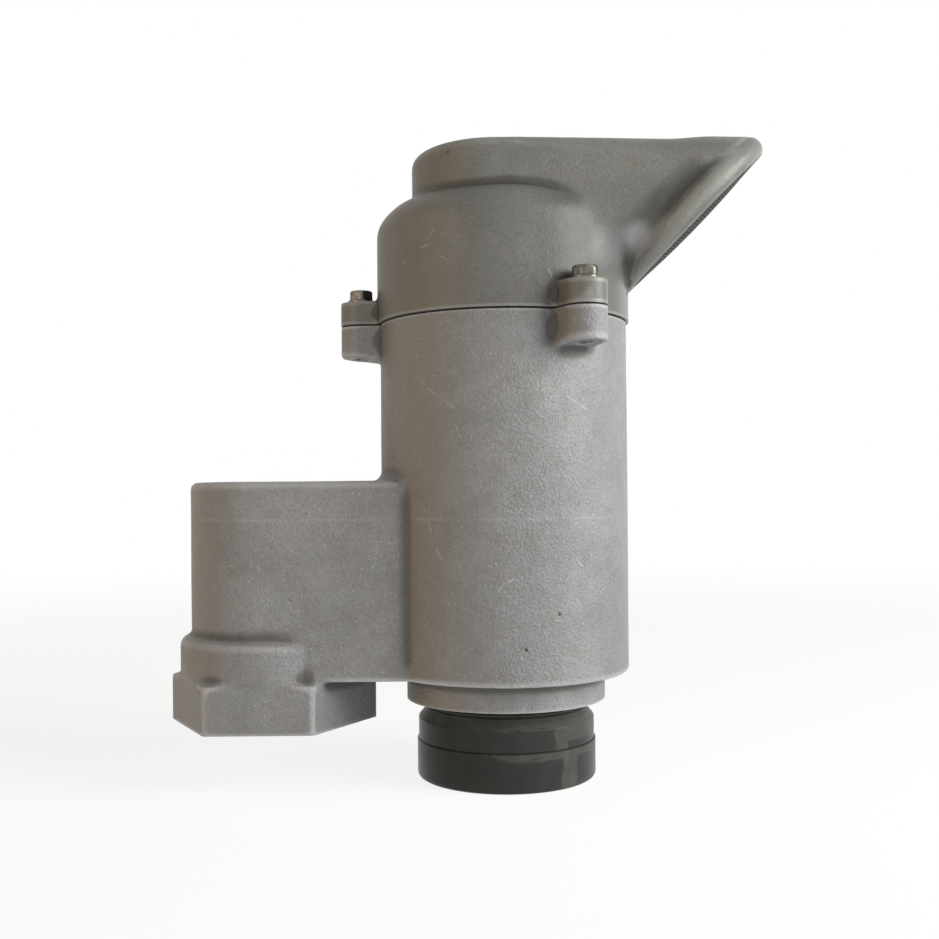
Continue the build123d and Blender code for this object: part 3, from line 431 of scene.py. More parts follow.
def dark_metal(name, settings):
    """Dark anodised metal, grainy, with damp patches that have crisp edges."""
    made = Finish(name, metallic=0.0, specular=0.12)
    grit = made.grain(0.45 * MM, detail=3, roughness=0.65)
    cloud = made.grain(9 * MM, detail=5, roughness=0.6)
    x, y, z = made.axes
    ragged = made.calc("SUBTRACT", made.grain(5 * MM, detail=4, roughness=0.6), 0.5)
    level = made.calc("ADD", z, made.calc("MULTIPLY", ragged, 3.5 * MM))
    across = made.calc("DIVIDE", made.calc("SUBTRACT", x, AXIS_X), 34 * MM)
    across = made.calc("ADD", across, made.calc("MULTIPLY", ragged, 0.16))
    upper = made.calc("MULTIPLY", made.rise(level, 1.6 * MM, 0.4 * MM), made.rise(z, STEP - 0.1 * MM, STEP + 0.1 * MM))
    corner = made.calc("MULTIPLY", made.rise(across, 0.70, 0.73), made.rise(level, -4.6 * MM, -5.2 * MM))
    upper = made.calc("MULTIPLY", upper, made.most(made.rise(across, 0.56, 0.53), corner))
    strip = made.calc("MULTIPLY", made.rise(across, 0.62, 0.65), made.rise(across, 0.84, 0.80))
    edge = made.calc("SUBTRACT", made.calc("MULTIPLY", made.rise(across, 0.1, -0.7), 6 * MM), 11 * MM)
    lower = made.calc("MULTIPLY", made.rise(level, edge, made.calc("SUBTRACT", edge, 1.2 * MM)), made.calc("SUBTRACT", 1.0, strip))
    damp = made.calc("MAXIMUM", upper, lower)
    dark = tuple(settings.damp_colour)
    plain = tuple(settings.colour)
    shade = made.blend(made.rise(cloud, 0.3, 0.75), [s * 0.85 for s in plain], [s * 1.2 for s in plain])
    shade = made.blend(made.calc("MULTIPLY", made.rise(grit, 0.52, 0.7), 0.4), shade, [0.21, 0.21, 0.19])
    shade = made.blend(made.calc("MULTIPLY", damp, made.between(grit, 0.55, 0.85)), shade, dark)
    # Painted shade: dark rings at the housing's step and under the boss.
    for height in (STEP, 5.3 * MM, 6.9 * MM):
        line = made.rise(made.calc("ABSOLUTE", made.calc("SUBTRACT", z, height)), 0.5 * MM, 0.2 * MM)
        shade = made.blend(made.calc("MULTIPLY", line, 0.75), shade, [0.012, 0.012, 0.011])
    rings = made.step(
        "ShaderNodeTexNoise", {"Vector": made.vector(0.0, 0.0, z), "Scale": 1 / (0.4 * MM), "Detail": 1.0}
    ).outputs["Fac"]
    made.relief(rings, 0.03 * MM)
    made.relief(grit, 0.06 * MM)
    return made.done(shade, made.between(damp, 0.44, 0.30))


def worn_steel(name, colour, metallic=0.9, roughness=0.28):
    """Handled bright steel with fine scratches and brown stains."""
    made = Finish(name, metallic=metallic)
    stain = made.grain(3 * MM, detail=4, roughness=0.6)
    rub = made.grain(1.1 * MM, detail=3, stretch=(1, 1, 0.15))
    shade = made.blend(made.rise(stain, 0.35, 0.7), colour, [colour[0] * 0.55, colour[1] * 0.5, colour[2] * 0.42])
    shade = made.blend(made.calc("MULTIPLY", rub, 0.3), shade, [min(1, s * 1.5) for s in colour])
    made.relief(stain, 0.05 * MM)
    made.relief(rub, 0.02 * MM)
    return made.done(shade, made.between(stain, roughness * 0.75, roughness * 1.5))


def dull_wire(name, colour):
    """Dull dark wire with dust in it."""
    made = Finish(name, metallic=0.2)
    dust = made.grain(2.2 * MM, detail=4)
    fine = made.grain(0.3 * MM, detail=2)
    shade = made.blend(made.rise(dust, 0.4, 0.7), colour, [0.09, 0.085, 0.075])
    made.relief(fine, 0.02 * MM)
    return made.done(shade, made.between(fine, 0.35, 0.6))


def foil(name, colour):
    """Thin rolled aluminium foil with lengthwise rolling lines."""
    made = Finish(name, metallic=0.9)
    lines = made.grain(0.6 * MM, detail=3, stretch=(0.12, 0.12, 4))
    cloud = made.grain(6 * MM, detail=3)
    shade = made.blend(made.calc("MULTIPLY", lines, 0.4), colour, [s * 0.7 for s in colour])
    shade = made.blend(made.calc("MULTIPLY", made.rise(cloud, 0.4, 0.8), 0.3), shade, [0.3, 0.29, 0.27])
    made.relief(lines, 0.01 * MM)
    return made.done(shade, made.between(cloud, 0.22, 0.4))


def soft_sheet(name, colour, fleck, grain, roughness):
    """Gasket board or rubber: matt, with fibres or specks."""
    made = Finish(name)
    fibre = made.grain(grain, detail=4, roughness=0.7, stretch=(1, 0.3, 1))
    cloud = made.grain(grain * 9, detail=3)
    shade = made.blend(made.rise(fibre, 0.45, 0.7), colour, fleck)
    shade = made.blend(made.calc("MULTIPLY", cloud, 0.4), shade, [s * 0.6 for s in colour])
    made.relief(fibre, 0.04 * MM)
    return made.done(shade, made.between(cloud, roughness * 0.9, min(1, roughness * 1.1)))


# ---------------------------------------------------------------- mesh helpers

def add_object(name, mesh):
    """An object for a mesh, at the origin."""
    made = bpy.data.objects.new(name, mesh)
    bpy.context.scene.collection.objects.link(made)
    return made


def settled_mesh(made):
    """The plain mesh of an object with its modifiers, which are then removed."""
    bpy.context.view_layer.update()
    evaluated = made.evaluated_get(bpy.context.evaluated_depsgraph_get())
    mesh = bpy.data.meshes.new_from_object(evaluated)
    made.modifiers.clear()
    made.data = mesh
    return mesh


def finish_piece(made, material, body, slot, *nodes, crease=None):
    """Shades a piece, ties it to its body and hides the nodes that it stands for; the slot is not used."""
    mesh = made.data
    if not len(mesh.polygons):
        raise RuntimeError(f"{made.name} has no faces")
    mesh.materials.clear()
    mesh.materials.append(material)
    mesh.shade_smooth()
    if crease:
        mesh.set_sharp_from_angle(angle=math.radians(crease))
    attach(made, body)
    if nodes:
        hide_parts(*nodes)
    return made


def merged_copy(node):
    """A bmesh copy of a CAD node with its loose triangles joined."""
    copy = bmesh.new()
    copy.from_mesh(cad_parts[node].data)
    bmesh.ops.remove_doubles(copy, verts=copy.verts, dist=0.002 * MM)
    return copy


def rounded(profile, steps=4):
    """A closed profile of (radius, height, rounding) in metres, with its corners rounded."""
    points = []
    count = len(profile)
    for index, (radius, height, rounding) in enumerate(profile):
        corner = Vector((radius, height))
        if rounding <= 0:
            points.append(corner)
            continue
        before = Vector(profile[index - 1][:2])
        after = Vector(profile[(index + 1) % count][:2])
        to_before, to_after = (before - corner), (after - corner)
        reach = min(rounding, to_before.length * 0.45, to_after.length * 0.45)
        first = corner + to_before.normalized() * reach
        last = corner + to_after.normalized() * reach
        for step in range(steps + 1):
            t = step / steps
            points.append(first * (1 - t) ** 2 + corner * 2 * t * (1 - t) + last * t ** 2)
    return points


def lathe(name, points, segments, closed=True):
    """A closed profile turned about the body's axis."""
    turned = bmesh.new()
    rings = []
    for point in points:
        ring = []
        for step in range(segments):
            angle = 2 * math.pi * step / segments
            ring.append(turned.verts.new(
                (AXIS_X + point.x * math.cos(angle), point.x * math.sin(angle), point.y)
            ))
        rings.append(ring)
    for index in range(len(rings) if closed else len(rings) - 1):
        low, high = rings[index], rings[(index + 1) % len(rings)]
        for step in range(segments):
            after = (step + 1) % segments
            turned.faces.new((low[step], low[after], high[after], high[step]))
    bmesh.ops.recalc_face_normals(turned, faces=turned.faces)
    mesh = bpy.data.meshes.new(name)
    turned.to_mesh(mesh)
    turned.free()
    return mesh


def cylinder_cutter(radius, low, high, x, y, segments=96, top_radius=None):
    """An upright round cutter."""
    cutter = bmesh.new()
    bmesh.ops.create_cone(
        cutter, cap_ends=True, segments=segments, radius1=radius,
        radius2=radius if top_radius is None else top_radius, depth=high - low,
        matrix=Matrix.Translation((x, y, (low + high) / 2)),
    )
    return cutter


def cut_away(made, cutters):
    """Cuts bmesh cutters out of an object, one after the other; a cut that loses the object fails."""
    for cutter in cutters:
        before = len(made.data.polygons)
        mesh = bpy.data.meshes.new("cutter")
        cutter.to_mesh(mesh)
        cutter.free()
        tool = add_object("cutter", mesh)
        cut = made.modifiers.new("cut", "BOOLEAN")
        cut.operation = "DIFFERENCE"
        cut.solver = "EXACT"
        cut.object = tool
        settled_mesh(made)
        bpy.data.objects.remove(tool)
        if len(made.data.polygons) < before / 2:
            raise RuntimeError(f"a cut left {len(made.data.polygons)} of {before} faces of {made.name}")


class Skin:
    """A dense surface as arrays, for the smoothing of a casting."""

    def __init__(self, mesh, grid):
        self.mesh, self.grid = mesh, grid
        count = len(mesh.vertices)
        self.points = np.empty(count * 3)
        mesh.vertices.foreach_get("co", self.points)
        self.points = self.points.reshape(-1, 3)
        edges = np.empty(len(mesh.edges) * 2, dtype=np.int64)
        mesh.edges.foreach_get("vertices", edges)
        edges = edges.reshape(-1, 2)
        self.start = np.concatenate((edges[:, 0], edges[:, 1]))
        self.end = np.concatenate((edges[:, 1], edges[:, 0]))
        order = np.argsort(self.start, kind="stable")
        self.start, self.end = self.start[order], self.end[order]
        self.degree = np.maximum(np.bincount(self.start, minlength=count), 1)
        corners = np.empty(len(mesh.loops), dtype=np.int64)
        mesh.loops.foreach_get("vertex_index", corners)
        starts = np.empty(len(mesh.polygons), dtype=np.int64)
        mesh.polygons.foreach_get("loop_start", starts)
        self.faces = np.stack([corners[starts + step] for step in range(4)], axis=1)

    def around(self, values):
        """Mean of the neighbours' values."""
        count = len(self.degree)
        if values.ndim == 1:
            return np.bincount(self.start, weights=values[self.end], minlength=count) / self.degree
        return np.stack([self.around(values[:, axis]) for axis in range(values.shape[1])], axis=1)

    def normals(self):
        a, b, c, d = (self.points[self.faces[:, step]] for step in range(4))
        face = np.cross(c - a, d - b)
        count = len(self.degree)
        total = np.zeros((count, 3))
        for step in range(4):
            for axis in range(3):
                total[:, axis] += np.bincount(self.faces[:, step], weights=face[:, axis], minlength=count)
        return total / np.maximum(np.linalg.norm(total, axis=1), 1e-12)[:, None]

    def even_out(self, passes):
        """Takes the grid's steps out of the surface without shrinking it."""
        for _ in range(passes):
            for share in (0.5, -0.53):
                self.points += share * (self.around(self.points) - self.points)

    def fill_hollows(self, passes, reach, radius):
        """Rounds inside corners sharper than a radius; reach from 0 to 1 is each point's part in it."""
        least = self.grid ** 2 / (4 * radius)
        for count in range(passes):
            if count % 6 == 0:
                normal = self.normals()
            lift = ((self.around(self.points) - self.points) * normal).sum(axis=1)
            broad = self.around(self.around(lift))
            share = np.clip((broad - least) / (2 * least), 0, 1)
            self.points += (0.5 * reach * share * np.maximum(lift, 0))[:, None] * normal

    def relax(self, passes, reach):
        """Draws the surface tight, like a skin over its surroundings."""
        for _ in range(passes):
            self.points += reach[:, None] * (self.around(self.points) - self.points)

    def reached_from(self, seed, allowed):
        """The points joined to a seed over allowed points only."""
        reached = np.zeros(len(self.degree), dtype=bool)
        reached[seed] = True
        while True:
            fresh = np.unique(self.end[reached[self.start]])
            fresh = fresh[allowed[fresh] & ~reached[fresh]]
            if not len(fresh):
                return reached
            reached[fresh] = True

    def store(self):
        self.mesh.vertices.foreach_set("co", self.points.ravel())
        self.mesh.update()


def smooth_step(values, low, high):
    """0 below low, 1 above high."""
    share = np.clip((values - low) / (high - low), 0, 1)
    return share * share * (3 - 2 * share)


def cast_skin(node, grid, raised, raised_rows=None):
    """A casting's surface on an even grid, with allowance raised on its machined faces."""
    copy = merged_copy(node)
    for test, move in raised:
        for vertex in copy.verts:
            if test(vertex.co):
                vertex.co += move
    if raised_rows:
        low, top, inner, outer, share = raised_rows
        for vertex in copy.verts:
            if low < vertex.co.z < top and inner < math.hypot(vertex.co.x, vertex.co.y) < outer:
                vertex.co.z += (top - vertex.co.z) * share
    mesh = bpy.data.meshes.new(node + "_raw")
    copy.to_mesh(mesh)
    copy.free()
    raw = add_object(node + "_raw", mesh)
    remesh = raw.modifiers.new("grid", "REMESH")
    remesh.mode = "VOXEL"
    remesh.voxel_size = grid
    remesh.adaptivity = 0
    return raw, Skin(settled_mesh(raw), grid)


def thin_inside(made, inside, share):
    """Leaves fewer faces on the inside of a casting."""
    group = made.vertex_groups.new(name="inside")
    group.add([int(index) for index in np.nonzero(inside)[0]], 1.0, "REPLACE")
    fewer = made.modifiers.new("fewer", "DECIMATE")
    fewer.vertex_group = group.name
    fewer.ratio = 1 - share * float(inside.mean())
    settled_mesh(made)


def wave_points(skin, depth, size):
    """Slow waves, only ever inwards."""
    normal = skin.normals()
    scale = 1 / size
    waves = np.array([noise.noise(Vector(point) * scale) for point in skin.points])
    skin.points -= normal * (depth * np.clip(0.5 + 0.8 * waves, 0, 1))[:, None]


def keep_in_box(skin, node, extra):
    """Holds the surface inside the box of its CAD node."""
    low, high = (np.array(corner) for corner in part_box(node))
    skin.points = np.clip(skin.points, low - np.array(extra[0]), high + np.array(extra[1]))


def mark_edges(mesh, spread=3, broad=14):
    """Stores how far each point stands out (1) or lies in a hollow (0) of the surface."""
    count = len(mesh.vertices)
    points = np.empty(count * 3)
    mesh.vertices.foreach_get("co", points)
    points = points.reshape(-1, 3)
    normal = np.empty(count * 3)
    mesh.vertices.foreach_get("normal", normal)
    normal = normal.reshape(-1, 3)
    edges = np.empty(len(mesh.edges) * 2, dtype=np.int64)
    mesh.edges.foreach_get("vertices", edges)
    edges = edges.reshape(-1, 2)
    start = np.concatenate((edges[:, 0], edges[:, 1]))
    end = np.concatenate((edges[:, 1], edges[:, 0]))
    degree = np.maximum(np.bincount(start, minlength=count), 1)
    length = np.linalg.norm(points[start] - points[end], axis=1)
    apart = ((points[start] - points[end]) * normal[start]).sum(axis=1) / np.maximum(length, 1e-9) ** 2
    bend = np.bincount(start, weights=np.clip(apart, -900, 900), minlength=count) / degree
    for _ in range(spread):
        bend = 0.5 * bend + 0.5 * np.bincount(start, weights=bend[end], minlength=count) / degree
    # The edge value lightens edges as wear and painted highlight and darkens creases as dirt and painted shade.
    wear_and_light = mesh.attributes.new("edge_wear_and_light", "FLOAT", "POINT")
    wear_and_light.data.foreach_set("value", np.clip(0.5 + bend / 220, 0, 1).astype(np.float32))
    # The broad hollow value darkens hollows as dirt and painted shade.
    for _ in range(broad):
        bend = 0.3 * bend + 0.7 * np.bincount(start, weights=bend[end], minlength=count) / degree
    hollow = mesh.attributes.new("hollow_dirt_and_shade", "FLOAT", "POINT")
    hollow.data.foreach_set("value", np.clip(-bend / 34, 0, 1).astype(np.float32))


# ---------------------------------------------------------------- geometry node trees

class Growth(NodeChain):
    """A Geometry Nodes tree with named inputs, put on an object as a modifier."""

    def __init__(self, name, inputs):
        super().__init__(bpy.data.node_groups.new(name, "GeometryNodeTree"))
        face = self.tree.interface
        face.new_socket("Geometry", in_out="OUTPUT", socket_type="NodeSocketGeometry")
        self.values = {}
        for label, (kind, value) in inputs.items():
            face.new_socket(label, in_out="INPUT", socket_type="NodeSocket" + kind)
            self.values[label] = value
        self.given = self.step("NodeGroupInput").outputs

    def close(self, geometry):
        """Realizes the geometry, gives it its material and ends the tree."""
        real = self.step("GeometryNodeRealizeInstances", {0: geometry}).outputs[0]
        painted = self.step(
            "GeometryNodeSetMaterial", {"Geometry": real, "Material": self.given["Material"]}
        ).outputs[0]
        self.step("NodeGroupOutput", {0: painted})

    def grow(self, name):
        """A plain mesh object grown from the tree."""
        made = add_object(name, bpy.data.meshes.new(name))
        modifier = made.modifiers.new("grow", "NODES")
        modifier.node_group = self.tree
        for item in self.tree.interface.items_tree:
            if item.in_out == "INPUT":
                modifier[item.identifier] = self.values[item.name]
        settled_mesh(made)
        return made


def woven_screen(name, radius, bulge, centre, turn, settings, material):
    """A round piece of plain-woven wire with a pressed edge."""
    grown = Growth(name, {
        "Radius": ("Float", radius), "Bulge": ("Float", bulge), "Pitch": ("Float", settings.pitch),
        "Wire": ("Float", settings.wire), "Centre": ("Vector", centre), "Turn": ("Vector", turn),
        "Material": ("Material", material),
    })
    given = grown.given
    half = grown.calc("FLOOR", grown.calc("DIVIDE", given["Radius"], given["Pitch"]))
    start = grown.calc("MULTIPLY", half, grown.calc("MULTIPLY", given["Pitch"], -1.0))
    count = grown.calc("ADD", grown.calc("MULTIPLY", half, 2.0), 1.0)
    wire_radius = grown.calc("MULTIPLY", given["Wire"], 0.5)
    section = grown.step(
        "GeometryNodeCurvePrimitiveCircle", {"Resolution": 6, "Radius": wire_radius}
    ).outputs[0]
    sets = []
    for side in (1.0, -1.0):
        line = grown.step(
            "GeometryNodeMeshLine",
            {"Count": count, "Start Location": grown.vector(0.0, start, 0.0),
             "Offset": grown.vector(0.0, given["Pitch"], 0.0)},
        ).outputs[0]
        place = grown.step("GeometryNodeInputPosition").outputs[0]
        across = grown.apart(place)[1]
        reach = grown.calc("SUBTRACT", grown.calc("POWER", given["Radius"], 2.0),
                           grown.calc("POWER", across, 2.0))
        reach = grown.calc("SQRT", grown.calc("MAXIMUM", reach, 1e-8))
        wire = grown.step("GeometryNodeCurvePrimitiveLine", {"Start": (-1, 0, 0), "End": (1, 0, 0)}).outputs[0]
        wires = grown.step(
            "GeometryNodeInstanceOnPoints",
            {"Points": line, "Instance": wire, "Scale": grown.vector(reach, 1.0, 1.0)},
        ).outputs[0]
        wires = grown.step("GeometryNodeRealizeInstances", {0: wires}).outputs[0]
        wires = grown.step(
            "GeometryNodeResampleCurve",
            {"Curve": wires, "Length": grown.calc("MULTIPLY", given["Pitch"], 0.25)}, mode="LENGTH",
        ).outputs[0]
        along, over, _ = grown.apart(grown.step("GeometryNodeInputPosition").outputs[0])
        phase = grown.calc("DIVIDE", grown.calc("ADD", along, over), given["Pitch"])
        wave = grown.calc("COSINE", grown.calc("MULTIPLY", phase, math.pi))
        lift = grown.calc("MULTIPLY", wave, grown.calc("MULTIPLY", wire_radius, side))
        wires = grown.step(
            "GeometryNodeSetPosition", {"Geometry": wires, "Offset": grown.vector(0.0, 0.0, lift)}
        ).outputs[0]
        mesh = grown.step(
            "GeometryNodeCurveToMesh", {"Curve": wires, "Profile Curve": section, "Fill Caps": True}
        ).outputs[0]
        if side < 0:
            mesh = grown.step(
                "GeometryNodeTransform", {"Geometry": mesh, "Rotation": (0, 0, math.pi / 2)}
            ).outputs[0]
        sets.append(mesh)
    edge = grown.step(
        "GeometryNodeCurvePrimitiveCircle",
        {"Resolution": 96, "Radius": grown.calc("SUBTRACT", given["Radius"], wire_radius)},
    ).outputs[0]
    band = grown.step(
        "GeometryNodeCurvePrimitiveCircle", {"Resolution": 8, "Radius": given["Wire"]}
    ).outputs[0]
    sets.append(grown.step("GeometryNodeCurveToMesh", {"Curve": edge, "Profile Curve": band}).outputs[0])
    joined = grown.step("GeometryNodeJoinGeometry")
    for mesh in sets:
        grown.tree.links.new(mesh, joined.inputs[0])
    x, y, _ = grown.apart(grown.step("GeometryNodeInputPosition").outputs[0])
    from_middle = grown.calc("ADD", grown.calc("POWER", x, 2.0), grown.calc("POWER", y, 2.0))
    share = grown.calc("DIVIDE", from_middle, grown.calc("POWER", given["Radius"], 2.0))
    bulge = grown.calc("MULTIPLY", given["Bulge"], grown.calc("SUBTRACT", 1.0, share))
    joined = grown.step(
        "GeometryNodeSetPosition",
        {"Geometry": joined.outputs[0], "Offset": grown.vector(0.0, 0.0, bulge)},
    )
    placed = grown.step(
        "GeometryNodeTransform",
        {"Geometry": joined.outputs[0], "Translation": given["Centre"], "Rotation": given["Turn"]},
    ).outputs[0]
    grown.close(placed)
    return grown.grow(name)


def ring_of_parts(name, part, circle, turn, material):
    """Copies of a part on the three screw places."""
    grown = Growth(name, {
        "Part": ("Object", part), "Circle": ("Float", circle), "Places": ("Int", SCREW_PLACES),
        "Turn": ("Float", turn), "Seed": ("Int", 4), "Material": ("Material", material),
    })
    given = grown.given
    ring = grown.step(
        "GeometryNodeMeshCircle", {"Vertices": given["Places"], "Radius": given["Circle"]}
    ).outputs[0]
    ring = grown.step(
        "GeometryNodeTransform",
        {"Geometry": ring, "Rotation": (0, 0, math.radians(60)), "Translation": (AXIS_X, 0, 0)},
    ).outputs[0]
    part_mesh = grown.step("GeometryNodeObjectInfo", {"Object": given["Part"]}).outputs["Geometry"]
    twist = grown.step(
        "FunctionNodeRandomValue", {"Min": 0.0, "Max": given["Turn"], "Seed": given["Seed"]},
        data_type="FLOAT",
    )
    for socket in twist.inputs:
        if socket.name == "Max" and socket.type == "VALUE" and not socket.is_linked:
            grown.tree.links.new(given["Turn"], socket)
    twist_value = [socket for socket in twist.outputs if socket.type == "VALUE"][0]
    x, y, _ = grown.apart(grown.step("GeometryNodeInputPosition").outputs[0])
    outwards = grown.calc("ARCTAN2", y, grown.calc("SUBTRACT", x, AXIS_X))
    parts = grown.step(
        "GeometryNodeInstanceOnPoints",
        {"Points": ring, "Instance": part_mesh,
         "Rotation": grown.vector(0.0, 0.0, grown.calc("ADD", outwards, twist_value))},
    ).outputs[0]
    grown.close(parts)
    return grown.grow(name)


def thread_ridge(name, radius, low, high, pitch, ridge, x, material, inwards):
    """A helical ridge on a bore or a neck."""
    turns = (high - low - pitch) / pitch
    grown = Growth(name, {
        "Radius": ("Float", radius), "Low": ("Float", low + pitch / 2), "Rise": ("Float", turns * pitch),
        "Turns": ("Float", turns), "Ridge": ("Float", ridge), "Axis": ("Float", x),
        "Material": ("Material", material),
    })
    given = grown.given
    helix = grown.step(
        "GeometryNodeCurveSpiral",
        {"Resolution": 64, "Rotations": given["Turns"], "Start Radius": given["Radius"],
         "End Radius": given["Radius"], "Height": given["Rise"]},
    ).outputs[0]
    helix = grown.step("GeometryNodeSetCurveNormal", {0: helix}, mode="Z_UP").outputs[0]
    profile = grown.step(
        "GeometryNodeCurvePrimitiveCircle", {"Resolution": 4, "Radius": given["Ridge"]}
    ).outputs[0]
    ridge_mesh = grown.step(
        "GeometryNodeCurveToMesh", {"Curve": helix, "Profile Curve": profile, "Fill Caps": True}
    ).outputs[0]
    placed = grown.step(
        "GeometryNodeTransform",
        {"Geometry": ridge_mesh, "Translation": grown.vector(given["Axis"], 0.0, given["Low"])},
    ).outputs[0]
    grown.close(placed)
    return grown.grow(name)


def wound_ribbon(name, inner, outer, low, high, settings, crimped, material):
    """A ribbon wound in a spiral, flat or crimped between the windings."""
    wrap = settings.wrap
    length = math.pi * (outer ** 2 - inner ** 2) / wrap
    spacing = settings.crimp / 2 if crimped else settings.crimp
    grown = Growth(name, {
        "Inner radius": ("Float", inner), "Wrap": ("Float", wrap), "Spacing": ("Float", spacing),
        "Points": ("Int", int(length / spacing)),
        "Crimp height": ("Float", (wrap - 3 * settings.foil) if crimped else 0.0),
        "Foil": ("Float", settings.foil), "Low": ("Float", low), "Height": ("Float", high - low),
        "Material": ("Material", material),
    })
    given = grown.given
    line = grown.step("GeometryNodeMeshLine", {"Count": given["Points"]}).outputs[0]
    index = grown.step("GeometryNodeInputIndex").outputs[0]
    run = grown.calc("MULTIPLY", index, given["Spacing"])
    grown_area = grown.calc("DIVIDE", grown.calc("MULTIPLY", run, given["Wrap"]), math.pi)
    radius = grown.calc(
        "SQRT", grown.calc("ADD", grown.calc("POWER", given["Inner radius"], 2.0), grown_area)
    )
    angle = grown.calc(
        "MULTIPLY", grown.calc("DIVIDE", grown.calc("SUBTRACT", radius, given["Inner radius"]),
                               given["Wrap"]), 2 * math.pi,
    )
    odd = grown.calc("MODULO", index, 2.0)
    out = grown.calc("ADD", radius, grown.calc("MULTIPLY", odd, given["Crimp height"]))
    out = grown.calc("ADD", out, grown.calc("MULTIPLY", given["Foil"], 1.5 if crimped else 0.0))
    middle = grown.calc("ADD", given["Low"], grown.calc("MULTIPLY", given["Height"], 0.5))
    place = grown.vector(
        grown.calc("ADD", grown.calc("MULTIPLY", out, grown.calc("COSINE", angle)), AXIS_X),
        grown.calc("MULTIPLY", out, grown.calc("SINE", angle)), middle,
    )
    line = grown.step("GeometryNodeSetPosition", {"Geometry": line, "Position": place}).outputs[0]
    path = grown.step("GeometryNodeMeshToCurve", {0: line}).outputs[0]
    path = grown.step("GeometryNodeSetCurveNormal", {0: path}, mode="Z_UP").outputs[0]
    section = grown.step(
        "GeometryNodeCurvePrimitiveQuadrilateral",
        {"Width": given["Foil"], "Height": given["Height"]}, mode="RECTANGLE",
    ).outputs[0]
    ribbon = grown.step(
        "GeometryNodeCurveToMesh", {"Curve": path, "Profile Curve": section, "Fill Caps": True}
    ).outputs[0]
    grown.close(ribbon)
    return grown.grow(name)


# ---------------------------------------------------------------- pieces

def scaled_marks(marks):
    """Marks in metres: first point, last point, width."""
    return [(Vector(first) * MM, Vector(last) * MM, width * MM) for first, last, width in marks]


# Heights of the body's ledge and the housing's step, pit points, streaks of painted shade and painted highlight, and
# scratches and nicks; streaks and marks go from one point to another in millimetres, with their width
LEDGE = 20.9 * MM
STEP = -8.2 * MM
BODY_PITS = tuple(tuple(value * MM for value in point) for point in (
    (100.6, -52.5, 21.5), (119.2, -48.6, 48.5), (106.1, -52.1, 35.2),
))
# Painted shade along the valley behind the spout's bead
HOOD_PAINTED_SHADE = scaled_marks((
    ((153.4, -35.6, 201.2), (162.6, -38.3, 210.8), 12.0), ((162.6, -38.3, 210.8), (174.6, -38.3, 221.8), 11.0),
))
# Painted highlight on the web between the spout and the shoulder
HOOD_PAINTED_HIGHLIGHTS = scaled_marks((
    ((139.7, -36.7, 192.8), (146.8, -31.3, 193.1), 15.0), ((146.8, -31.3, 193.1), (152.1, -33.5, 197.7), 12.0),
))
HOOD_PITS = ((77.3 * MM, -37.2 * MM, 230.9 * MM),)
BODY_MARKS = scaled_marks((
    ((68.7, -42.6, 136.8), (79.6, -48.6, 128.3), 0.5), ((122.7, -47.1, 133.1), (131.8, -41.3, 127.6), 0.45),
    ((68.2, -42.3, 85.2), (69.4, -43.1, 79.7), 0.45), ((95.3, -52.3, 57.7), (97.9, -52.5, 61.0), 0.7),
    ((97.9, -52.5, 61.0), (101.0, -52.5, 62.0), 0.7), ((79.3, -48.5, 122.4), (81.9, -49.5, 115.7), 0.4),
    ((126.3, -45.1, 69.1), (128.7, -43.5, 66.7), 0.5), ((71.3, -44.4, 74.3), (73.3, -45.5, 69.6), 0.6),
    ((137.4, -36.2, 20.9), (146.2, -23.8, 20.9), 0.8), ((103.4, -52.3, 33.4), (104.9, -52.2, 30.7), 0.5),
    ((45.4, -34.3, 66.0), (47.0, -34.3, 68.0), 0.5), ((-0.5, -34.3, 66.8), (0.7, -34.3, 65.2), 0.5),
    ((151.0, 8.0, 110.0), (147.0, 22.0, 101.0), 0.5), ((60.0, 35.0, 60.0), (72.0, 44.6, 52.0), 0.5),
))
HOOD_MARKS = scaled_marks((
    ((109.6, -52.5, 205.4), (114.3, -51.4, 206.0), 0.5), ((111.5, -52.1, 208.2), (115.0, -51.2, 205.3), 0.5),
    ((112.0, -51.0, 210.5), (113.9, -51.5, 208.3), 0.45), ((117.4, -50.4, 206.2), (119.0, -49.8, 206.7), 0.5),
    ((71.7, -45.8, 198.8), (69.3, -44.2, 195.3), 0.45), ((68.9, -43.9, 193.0), (66.5, -42.2, 191.9), 0.55),
    ((73.2, -46.7, 188.1), (77.5, -48.8, 185.7), 0.5), ((80.8, -50.2, 202.4), (82.3, -50.7, 199.9), 0.4),
    ((58.5, -34.5, 189.2), (59.8, -35.9, 186.9), 0.5), ((115.6, -51.0, 181.9), (117.1, -50.5, 178.9), 0.45),
    ((150.0, 10.0, 190.0), (146.0, 24.0, 183.0), 0.5), ((96.0, 42.5, 230.0), (108.0, 42.5, 226.0), 0.5),
))


def near_height(height):
    """A test for points on a level machined face."""
    return lambda point: abs(point.z - height) < 0.02 * MM


